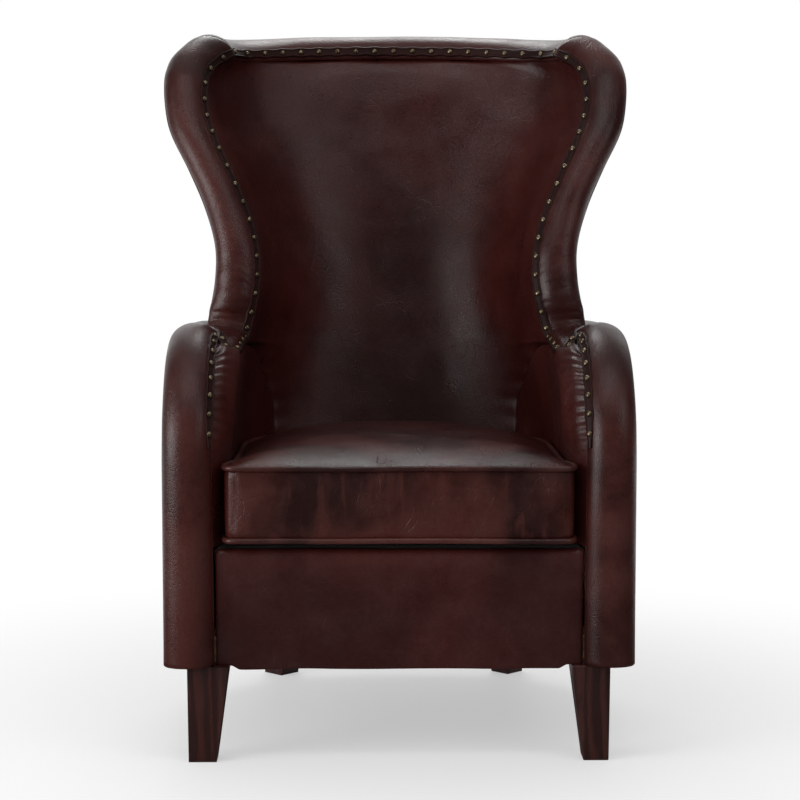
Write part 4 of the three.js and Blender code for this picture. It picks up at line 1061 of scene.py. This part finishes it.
def tube(name, path, radius, sides, closed=False, wear_and_sheen=0.5, bumps=0.0):
    """A round cord through a path of points, closed on itself or with closed ends."""
    count = len(path)
    rows = count if closed else count - 1
    ahead = unit(np.roll(path, -1, axis=0) - np.roll(path, 1, axis=0) if closed else np.gradient(path, axis=0))
    up = np.array([0.0, 0.0, 1.0]) if abs(ahead[0][2]) < 0.7 else np.array([1.0, 0.0, 0.0])
    side = unit(np.cross(ahead, up))
    lift = np.cross(side, ahead)
    bm = bmesh.new()
    bmesh.ops.create_grid(bm, x_segments=sides, y_segments=rows, size=0.5)
    for v in bm.verts:
        r, c = round((v.co.y + 0.5) * rows), round((v.co.x + 0.5) * sides)
        turn, k = 2 * math.pi * c / sides, r % count
        thick = radius * (1 + bumps * math.sin(1.9 * k))
        v.co = path[k] + side[k] * (thick * math.cos(turn)) + lift[k] * (thick * math.sin(turn))
    bmesh.ops.remove_doubles(bm, verts=bm.verts[:], dist=1e-6)
    if not closed:
        bmesh.ops.holes_fill(bm, edges=[e for e in bm.edges if e.is_boundary], sides=0)
    worn_and_sheen = bm.verts.layers.float.new("wear_and_sheen")
    for v in bm.verts:
        v[worn_and_sheen] = wear_and_sheen
    outward(bm)
    for face in bm.faces:
        face.smooth = len(face.verts) == 4
    return place_piece(name, bm)


# Front border under the cushion.
def build_front_border():
    half = ARM_SEAM_LOW - CLEARANCE - 0.0015
    near, far = SEAM_FRONT, SEAM_FRONT + LEATHER + CLEARANCE + 0.010
    top, bend = DECK - 0.002, 0.011
    lengths = (top - bend - BASE, bend * QUARTER, far - near - bend)

    def profile(run):
        if run < lengths[0]:
            return near, BASE + run
        if run < lengths[0] + lengths[1]:
            turn = (run - lengths[0]) / bend
            return near + bend * (1 - math.cos(turn)), top - bend + bend * math.sin(turn)
        return near + bend + (run - lengths[0] - lengths[1]), top

    def point(across, up):
        depth, z = profile(up * sum(lengths))
        return at(mix(-half, half, across), depth, z)

    grid = surface(96, 160, point)
    out = facing(grid, (0, -1, 0))
    left, right, low, _ = runs(grid)
    rim = nearest(left, right)
    swell = (0.0014 * waves(grid, 0.1, 13.0) + 0.0005 * waves(grid, 0.03, 14.0)) * np.clip(rim / 0.02, 0, 1)
    front = grid + out * (swell - rounded(rim, 0.006, 0.002) - rounded(low, 0.003, 0.001))[..., None]
    hem = np.array([0.0016 * noise.noise(Vector((x * 11, 3.0, 0.0))) for x in front[0, :, 0]])
    between_legs = smooth_steps((0.25 - np.abs(front[0, :, 0])) / 0.014)
    front[..., 2] += (hem - 0.006 * between_legs)[None, :] * np.exp(-low / 0.02)
    back = grid.copy()
    back[..., 1] = far - OVERALL_DEPTH / 2
    back[..., 2] = np.minimum(back[..., 2], top - LEATHER)
    piece = grid_body("front_border", front, back, 0.5 * np.exp(-((low - lengths[0]) / 0.02) ** 2))
    settle(piece, COVER, ("front_border_cover", "front_border_pad"))


# Seat cushion.
CUSHION_CENTRE = at(0, WING_FOOT_DEPTH, 0)
CUSHION_FRONT, CUSHION_REAR, CUSHION_NOSE_ROUND = 0.012, INNER_BACK - 0.022, 30
CUSHION_SIDES = (ARM_SEAM_LOW - 0.0095, SEAT_HALF - 0.003)  # Half widths between the arms and further back.
CUSHION_WELT, SIDE_GAP = 0.0044, 0.0045
CROWN, UNDERSIDE, CROWN_POWER = 0.034, 0.0124, 3.4  # Rise of the top panel, drop of the bottom one, their curve.
SWELL_LIMIT, SWELL_FRAMES = 0.011, 20
WELT_GROOVE, CRUMPLE = 0.0032, 0.0013
PIPING = (
    ("top", CUSHION_HIGH),
    ("bottom", CUSHION_LOW),
)


def cushion_outline(turn):
    c, s = math.cos(turn), math.sin(turn)
    rear = s >= 0
    roundness = INNER_ROUND if rear else CUSHION_NOSE_ROUND
    reach = inner_back(DECK) - 0.009 if rear else CUSHION_FRONT
    run = abs(power(s, 2 / roundness)) * (reach - WING_FOOT_DEPTH)
    depth = min(WING_FOOT_DEPTH + run, CUSHION_REAR)
    side = mix(*CUSHION_SIDES, smooth((depth - 0.045) / 0.06)) - SIDE_GAP
    return at(side * power(c, 2 / roundness), depth, 0)


def cushion_path(count, z):
    """Evenly spaced points of the cushion's outline at a height."""
    fine = [cushion_outline(2 * math.pi * k / 2400) for k in range(2401)]
    steps = [0.0]
    for a, b in zip(fine, fine[1:]):
        steps.append(steps[-1] + (b - a).length)
    stops = np.linspace(0, steps[-1], count, endpoint=False)
    xs, ys = np.interp(stops, steps, [p.x for p in fine]), np.interp(stops, steps, [p.y for p in fine])
    return np.stack([xs, ys, np.full(count, z)], axis=1)


def cushion_blank():
    """The cushion before it swells: its outline raised through boxing and both crowns."""
    ring = cushion_path(160, CUSHION_LOW)
    bm = bmesh.new()
    bmesh.ops.create_circle(bm, cap_ends=True, segments=160, radius=1)
    order = sorted(bm.verts, key=lambda v: math.atan2(v.co.y, v.co.x) % (2 * math.pi))
    for v, p in zip(order, ring):
        v.co = p

    def raise_rings(face, levels):
        """Draws a face out through rings, each a share of the outline at a height."""
        before = 1.0
        for share, z in levels:
            made = bmesh.ops.extrude_face_region(bm, geom=[face])["geom"]
            for v in (g for g in made if isinstance(g, bmesh.types.BMVert)):
                v.co.x = CUSHION_CENTRE.x + (v.co.x - CUSHION_CENTRE.x) * share / before
                v.co.y = CUSHION_CENTRE.y + (v.co.y - CUSHION_CENTRE.y) * share / before
                v.co.z = z
            face = next(g for g in made if isinstance(g, bmesh.types.BMFace))
            before = share

    def bulge(share):
        return 1 - share**CROWN_POWER

    levels = [(1.0, mix(CUSHION_LOW, CUSHION_HIGH, k / 6)) for k in range(1, 7)]
    levels += [(s, CUSHION_HIGH + CROWN * bulge(s)) for s in (0.97, 0.92, 0.84, 0.72, 0.54, 0.3, 0.1)]
    raise_rings(bm.faces[:][0], levels)
    bottom = min(bm.faces, key=lambda f: f.calc_center_median().z)
    raise_rings(bottom, [(s, CUSHION_LOW - UNDERSIDE * bulge(s)) for s in (0.96, 0.88, 0.75, 0.5, 0.2)])
    outward(bm)
    return bm


def modifier_applied(piece, kind, **settings):
    modifier = piece.modifiers.new(kind.lower(), kind)
    for key, value in settings.items():
        setattr(modifier, key, value)
    depsgraph = bpy.context.evaluated_depsgraph_get()
    mesh = bpy.data.meshes.new_from_object(piece.evaluated_get(depsgraph))
    piece.modifiers.clear()
    old = piece.data
    piece.data = mesh
    bpy.data.meshes.remove(old)


def vertex_array(mesh):
    found = np.empty(len(mesh.vertices) * 3)
    mesh.vertices.foreach_get("co", found)
    return found.reshape(-1, 3)


def seam_distance(points):
    """Distance of points from the cushion's two piped seams, in height."""
    return nearest(np.abs(points[:, 2] - CUSHION_HIGH), np.abs(points[:, 2] - CUSHION_LOW))


def swell_cushion(piece):
    """Fills the cushion with pressure while its seams are held, then brings far moves back."""
    rest = vertex_array(piece.data)
    pins = piece.vertex_groups.new(name="seams")
    held = (seam_distance(rest) < 0.004) & (outside_share(rest) > 0.96)
    pins.add([int(i) for i in np.nonzero(held)[0]], 1.0, "REPLACE")
    cloth = piece.modifiers.new("fill", "CLOTH")
    stuff = cloth.settings
    stuff.use_pressure, stuff.uniform_pressure_force = True, 4.0
    stuff.effector_weights.gravity = 0
    stuff.vertex_group_mass = "seams"
    stuff.tension_stiffness = stuff.compression_stiffness = 12
    stuff.shear_stiffness, stuff.bending_stiffness = 6, 2.0
    stuff.quality = 4
    scene = bpy.context.scene
    cloth.point_cache.frame_start, cloth.point_cache.frame_end = 1, SWELL_FRAMES
    for number in range(1, SWELL_FRAMES + 1):
        scene.frame_set(number)
    depsgraph = bpy.context.evaluated_depsgraph_get()
    swollen = np.array([v.co for v in piece.evaluated_get(depsgraph).data.vertices])
    scene.frame_set(1)
    piece.modifiers.clear()
    move = swollen - rest
    size = np.linalg.norm(move, axis=1, keepdims=True)
    return rest + move * np.minimum(1, SWELL_LIMIT / np.maximum(size, 1e-9))


def outside_share(points):
    """How far out points are, level, as a share of the cushion's outline."""
    def bearings(rows):
        return np.arctan2(rows[:, 1], rows[:, 0]) % (2 * math.pi)

    centre = np.array(CUSHION_CENTRE)
    ring = np.array([cushion_outline(a) for a in np.linspace(0, 2 * math.pi, 721)]) - centre
    bearing = bearings(ring)
    order = np.argsort(bearing)
    level = points - centre
    there = bearings(level)
    reach = np.interp(there, bearing[order], np.linalg.norm(ring[order][:, :2], axis=1), period=2 * math.pi)
    return np.linalg.norm(level[:, :2], axis=1) / reach


def build_cushion():
    piece = place_piece("seat_cushion_leather", cushion_blank())
    modifier_applied(piece, "REMESH", mode="VOXEL", voxel_size=0.006)
    points = swell_cushion(piece)
    share = outside_share(points)
    flank = np.clip((share - 0.93) / 0.05, 0, 1)
    seams = seam_distance(points)
    side = (points[:, 2] > CUSHION_LOW) & (points[:, 2] < CUSHION_HIGH)
    level = points - np.array(CUSHION_CENTRE)
    level[:, 2] = 0
    level /= np.maximum(np.linalg.norm(level, axis=1, keepdims=True), 1e-9)
    groove = WELT_GROOVE * np.exp(-((seams / 0.006) ** 2)) * flank
    crumple = np.array([noise.noise(Vector((p[0] * 34, p[1] * 34, p[2] * 5))) for p in points])
    ridge = (1 - np.abs(crumple) * 2) ** 5 * CRUMPLE * flank * side * np.clip(seams / 0.012, 0, 1)
    points -= level * (groove + ridge)[:, None]
    over = np.maximum(share - 1, 0) * 0.25
    points -= level * np.maximum(over - 0.0035, 0)[:, None]
    points[:, 2] = np.clip(points[:, 2], DECK + 0.0004, CUSHION_HIGH + CROWN + 0.002)
    piece.data.vertices.foreach_set("co", points.ravel())
    piece.data.update()
    # A lighter colour over the top's front and the front boxing is a painted highlight laid with some wear; the
    # lighter colour along the piped seams is wear.
    front_highlight_and_wear = np.exp(-(((points[:, 1] + 0.34) / 0.1) ** 2)) * 0.5
    wear_and_sheen = np.clip(front_highlight_and_wear + 0.7 * np.exp(-seams / 0.01) * flank, 0, 1)
    for name, values in (("boxing", side * flank), ("wear_and_sheen", wear_and_sheen)):
        attribute = piece.data.attributes.new(name, "FLOAT", "POINT")
        attribute.data.foreach_set("value", values.astype(np.float32))
    for polygon in piece.data.polygons:
        polygon.use_smooth = True
    modifier = piece.modifiers.new("smooth", "SUBSURF")
    modifier.levels = modifier.render_levels = 1
    settle(piece, CUSHION,
           ("cushion_core", "cushion_top_panel", "cushion_bottom_panel", "cushion_boxing"), "seat_cushion")
    for name, z in PIPING:
        path = cushion_path(420, z)
        drift = np.array([noise.noise(Vector((p[0] * 8, p[1] * 8, z * 40))) for p in path])
        path[:, 2] += 0.0016 * drift
        welt = tube(f"cushion_welt_{name}", path, CUSHION_WELT, 12, closed=True, wear_and_sheen=0.8, bumps=0.02)
        settle(welt, WELT, (f"cushion_piping_{name}",), "seat_cushion")


# Zip at the back of the cushion.
ZIP_MIDDLE = (CUSHION_LOW + CUSHION_HIGH) / 2
TEETH, TOOTH, TOOTH_SHIFT = 76, (0.0014, 0.0009, 0.0034), 0.0011


def build_zip():
    low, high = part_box("cushion_zip")
    bm = bmesh.new()
    bmesh.ops.create_grid(bm, x_segments=120, y_segments=10, size=0.5)
    for v in bm.verts:
        u, w = v.co.x + 0.5, v.co.y + 0.5
        v.co = (mix(low[0], high[0], u), low[1], mix(low[2], high[2], w))
        v.co.y += 0.0003 * math.cos(2 * math.pi * w)
    bmesh.ops.solidify(bm, geom=bm.faces[:], thickness=-0.001)
    outward(bm)
    settle(place_piece("zip_tape_woven", bm), TAPE, ("cushion_zip",), "seat_cushion")
    bm = bmesh.new()
    for k in range(TEETH):
        x = mix(low[0] + 0.003, high[0] - 0.003, k / (TEETH - 1))
        place = Matrix.Translation((x, high[1] - 0.0003, ZIP_MIDDLE + (TOOTH_SHIFT if k % 2 else -TOOTH_SHIFT)))
        bmesh.ops.create_cube(bm, size=1, matrix=place @ Matrix.Diagonal((*TOOTH, 1)))
    ease(bm, bm.edges[:], 0.0002, 1)
    settle(place_piece("zip_teeth", bm), BRASS, (), "seat_cushion")


def shaped_block(name, node, body, bevel):
    """A small metal piece with rounded edges in its node's box."""
    low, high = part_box(node)
    centre, size = (Vector(low) + Vector(high)) / 2, Vector(high) - Vector(low)
    bm = bmesh.new()
    bmesh.ops.create_cube(bm, size=1, matrix=Matrix.Translation(centre) @ Matrix.Diagonal((*size, 1)))
    bmesh.ops.subdivide_edges(bm, edges=bm.edges[:], cuts=2, use_grid_fill=True)
    for v in bm.verts:
        up = (v.co.z - centre.z) / size.z
        v.co.x = centre.x + (v.co.x - centre.x) * (1 - 0.22 * max(0, -up) - 0.1 * max(0, up))
    ease(bm, sharp_edges(bm), bevel, 2)
    outward(bm)
    settle(place_piece(name, bm), BRASS, (node,), body)


# Legs: square, tapered, edges eased.
LEG_TOP = BASE - CLEARANCE
# Place at the top, place at the foot, width at top and foot, and the eighths of a turn that it stands turned.
LEGS = {
    "front": ((ARM_HALF - 0.066, 0.049), (ARM_HALF - 0.057, 0.044), (0.058, 0.038), 0),
    "rear": ((ARM_HALF - 0.160, OVERALL_DEPTH - 0.151), (ARM_HALF - 0.149, OVERALL_DEPTH - 0.131), (0.050, 0.040), 1),
}


def build_legs():
    for place, ((x, depth), (foot_x, foot_depth), (top, foot), turned) in LEGS.items():
        for side, mirror in SIDES:
            bm = bmesh.new()
            bmesh.ops.create_cube(bm, size=1)
            bmesh.ops.subdivide_edges(bm, edges=bm.edges[:], cuts=5, use_grid_fill=True)
            for v in bm.verts:
                up = v.co.z + 0.5
                size = mix(foot, top, up)
                flat = Vector((v.co.x * size, v.co.y * size, 0))
                flat.rotate(Matrix.Rotation(turned * QUARTER / 2, 3, "Z"))
                centre = at(mix(foot_x, x, up), mix(foot_depth, depth, up), 0)
                v.co = ((-1 if mirror else 1) * (centre.x + flat.x), centre.y + flat.y, up * LEG_TOP)
            ease(bm, sharp_edges(bm), 0.0018, 3)
            for v in bm.verts:
                v.co.z = min(LEG_TOP, max(0.0, v.co.z))
            outward(bm)
            for face in bm.faces:
                face.smooth = True
            for edge in bm.edges:
                edge.smooth = edge.calc_face_angle(0) < 0.6
            settle(place_piece(f"turned_out_leg_{place}_{side}" if turned else f"tapered_leg_{place}_{side}", bm),
                   WOOD, (f"leg_{place}_{side}",))


# Hidden cloth: dust cover, deck and back webbing.
DUST_CLOTH_THICK, DUST_CUT, DUST_AREA_MOST = 0.0012, (0.7, 0.66), 0.46
DECK_FRONT, DECK_UNDERSIDE = 0.0413, 0.3006
UPRIGHTS, LEVELS, WEBBING_HALF_WEAVE = 6, 9, 0.0005


def build_dust_cover():
    lead = ARM_HALF - LEATHER - CLEARANCE
    front = SEAM_FRONT + LEATHER + CLEARANCE

    # A known fault: the front edge runs against the rim, so the cloth crosses itself behind the front.
    def point(across, up):
        turn = math.pi * (0.5 - 0.5 * math.cos(math.pi * across))
        rim = outer_lower(BASE, turn, -LEATHER - CLEARANCE)
        p = at(mix(-lead, lead, across), front, 0).lerp(rim, up)
        return Vector((p.x, p.y, BASE + CLEARANCE + 0.0001))

    grid = surface(40, 60, point)
    piece = grid_body("dust_cover_cloth", grid, grid + np.array([0, 0, DUST_CLOTH_THICK]))
    settle(piece, DUST_CLOTH, ("dust_cover",))


def build_deck():
    half = SEAT_HALF + BEHIND_COVER

    def level(z):
        def point(across, up):
            turn = math.pi * (0.5 - 0.5 * math.cos(math.pi * across))
            p = at(mix(half, -half, across), DECK_FRONT, z).lerp(inner_lower(DECK, turn, BEHIND_COVER), up)
            return Vector((p.x, p.y, z))

        return surface(50, 60, point)

    top, bottom = level(DECK - CLEARANCE), level(DECK_UNDERSIDE)
    top[..., 2] -= rounded(nearest(*runs(top)), 0.012, 0.006)
    settle(grid_body("seat_deck", top, bottom), DECK_CLOTH, ("deck_cover", "deck_pad"))


def build_webbing():
    """Back webbing: strips woven over and under between the frame posts."""
    offset = BEHIND_COVER + CLEARANCE + 0.001
    bm = bmesh.new()

    def strip(rows, place):
        for v in bmesh.ops.create_grid(bm, x_segments=4, y_segments=rows, size=0.5)["verts"]:
            v.co = place(v.co.x, v.co.y + 0.5)

    def spot(share, z, lift):
        turn = share * QUARTER
        if z < WING_FOOT:
            return inner_lower(z, turn, offset + lift)
        return inner_wing((z - WING_FOOT) / (INNER_CORNER - WING_FOOT), turn, offset + lift)

    def weave(crossings, phase):
        return WEBBING_HALF_WEAVE * math.cos(math.pi * (crossings + phase))

    for k in range(UPRIGHTS):
        middle = mix(BACK_SEAM + 0.07, 2 - BACK_SEAM - 0.07, k / (UPRIGHTS - 1))
        strip(70, lambda a, u: spot(middle + a * 0.11, mix(0.44, 1.0, u), weave(u * (LEVELS - 1), k)))
    for k in range(LEVELS):
        z = mix(0.47, 0.97, k / (LEVELS - 1))
        strip(60, lambda a, u: spot(mix(BACK_SEAM + 0.01, 2 - BACK_SEAM - 0.01, u), z + a * 0.036,
                                    -weave(u * (UPRIGHTS - 1), k)))
    outward(bm)
    bmesh.ops.solidify(bm, geom=bm.faces[:], thickness=0.0006)
    outward(bm)
    settle(place_piece("back_webbing_strips", bm), WEBBING, ("back_webbing",))


# Studio: pale floor and surroundings, soft boxes, the photograph's camera.
FLOOR_HALF = 30
AMBIENT = (0.72, 0.5)  # Light from all round, at the left and at the right.
# Place, target, width, height and watts of each soft box.
SOFT_BOXES = {
    "left": ((-2.69, -1.55, 1.02), (0, 0, 0.6), 1.8, 1.6, 42),
    "right": ((2.16, -1.82, 2.1), (0, 0, 0.7), 1.0, 0.7, 5.5),
    "above": ((0.0, -1.4, 3.0), (0, 0.2, 0.9), 2.6, 0.4, 10),
    "behind": ((-0.15, 1.9, 2.9), (0, -0.2, 0.6), 1.2, 0.8, 19),
}
CAMERA_PLACE, CAMERA_TILT, CAMERA_TURN, LENS, SENSOR = (-0.047, -3.3855, 0.805), 85, -0.9, 93.15, 36


def shiny_rays(tree):
    rays = add_node(tree, "ShaderNodeLightPath").outputs
    return rays["Is Camera Ray"], maths(tree, "MAXIMUM", rays["Is Glossy Ray"], rays["Is Transmission Ray"])


def build_floor():
    """Pale floor that glows to white away from the chair, and stays dark in its reflections."""
    bm = bmesh.new()
    bmesh.ops.create_grid(bm, x_segments=2, y_segments=2, size=FLOOR_HALF)
    ground = place_piece("floor", bm)
    material, tree, shader = new_material("pale_floor", (0.9, 0.9, 0.9))
    shader.inputs["Base Color"].default_value = (0.9, 0.9, 0.9, 1)
    shader.inputs["Roughness"].default_value = 0.6
    shader.inputs["Specular IOR Level"].default_value = 0.2
    place = add_node(tree, "ShaderNodeTexCoord").outputs["Object"]
    away = add_node(tree, "ShaderNodeVectorMath", {"operation": "LENGTH"}, i0=place).outputs["Value"]
    camera, shiny = shiny_rays(tree)
    rear = ranged(tree, add_node(tree, "ShaderNodeSeparateXYZ", Vector=place).outputs[1], 0.0, 1.0)
    seen = maths(tree, "MAXIMUM", camera, times(tree, shiny, rear))
    far = times(tree, ranged(tree, away, 0.4, 1.3, 0.45, 1.0), seen)
    glow = add_node(tree, "ShaderNodeEmission", Color=(1, 1, 1, 1), Strength=1.0)
    flag = add_node(tree, "ShaderNodeEmission", Color=(1, 1, 1, 1), Strength=0.05)
    ahead = maths(tree, "SUBTRACT", shiny, rear, held=True)
    near = add_node(tree, "ShaderNodeMixShader", i0=ahead, i1=shader.outputs[0], i2=flag.outputs[0])
    both = add_node(tree, "ShaderNodeMixShader", i0=far, i1=near.outputs[0], i2=glow.outputs[0])
    tree.links.new(both.outputs[0], tree.nodes["Material Output"].inputs["Surface"])
    ground.data.materials.append(material)


def build_surroundings():
    """White to the camera, a soft even light, and a few pale stretches in the reflections."""
    world = bpy.data.worlds.new("studio")
    bpy.context.scene.world = world
    world.use_nodes = True
    tree = world.node_tree
    camera, shiny = shiny_rays(tree)
    aim = add_node(tree, "ShaderNodeTexCoord").outputs["Generated"]
    aside, away, up = add_node(tree, "ShaderNodeSeparateXYZ", Vector=aim).outputs
    right_low = ranged(tree, maths(tree, "SUBTRACT", aside, up), 0.0, 0.5, 1.0, 0.2)
    behind = times(tree, ranged(tree, away, 0.3, 0.85), right_low)
    reflected = maths(tree, "MAXIMUM", behind, ranged(tree, up, 0.6, 0.95, 0.04, 0.3))
    around = ranged(tree, aside, -0.6, 0.9, *AMBIENT)
    strength = maths(tree, "ADD", times(tree, shiny, maths(tree, "SUBTRACT", reflected, around)), around)
    strength = maths(tree, "MAXIMUM", strength, camera)
    tree.nodes["Background"].inputs["Color"].default_value = (1, 1, 1, 1)
    tree.links.new(strength, tree.nodes["Background"].inputs["Strength"])


def build_lamps():
    for name, (place, target, wide, tall, watts) in SOFT_BOXES.items():
        light = bpy.data.lights.new(f"soft_box_{name}", "AREA")
        light.shape, light.size, light.size_y, light.energy = "RECTANGLE", wide, tall, watts
        lamp = bpy.data.objects.new(f"soft_box_{name}", light)
        bpy.context.scene.collection.objects.link(lamp)
        lamp.location = place
        lamp.rotation_mode = "QUATERNION"
        lamp.rotation_quaternion = (Vector(target) - Vector(place)).to_track_quat("-Z", "Y")


def build_camera():
    camera = bpy.data.objects.new("camera", bpy.data.cameras.new("camera"))
    bpy.context.scene.collection.objects.link(camera)
    camera.data.sensor_width, camera.data.lens = SENSOR, LENS
    camera.location = CAMERA_PLACE
    camera.rotation_mode = "XYZ"
    camera.rotation_euler = (math.radians(CAMERA_TILT), 0, math.radians(CAMERA_TURN))
    bpy.context.scene.camera = camera
    bpy.context.scene.view_settings.view_transform = "Standard"


build_floor()
build_surroundings()
build_lamps()
build_camera()
build_inside_back()
build_inside_arms()
build_bands()
build_foot_folds()
build_trim("nail_strip", wing_trim_frames(), ("nail_trim",))
for side, mirror in SIDES:
    build_trim(f"arm_nail_strip_{side}", trim_frames(ARM, TRIM_START, TRIM_END), (f"arm_nail_trim_{side}",), mirror)
build_outside()
build_front_border()
build_cushion()
build_zip()
shaped_block("zip_slider_cast", "zip_slider", "zip_slider", 0.0007)
shaped_block("zip_pull_tab", "zip_pull", "zip_pull", 0.0003)
build_legs()
build_dust_cover()
build_deck()
build_webbing()
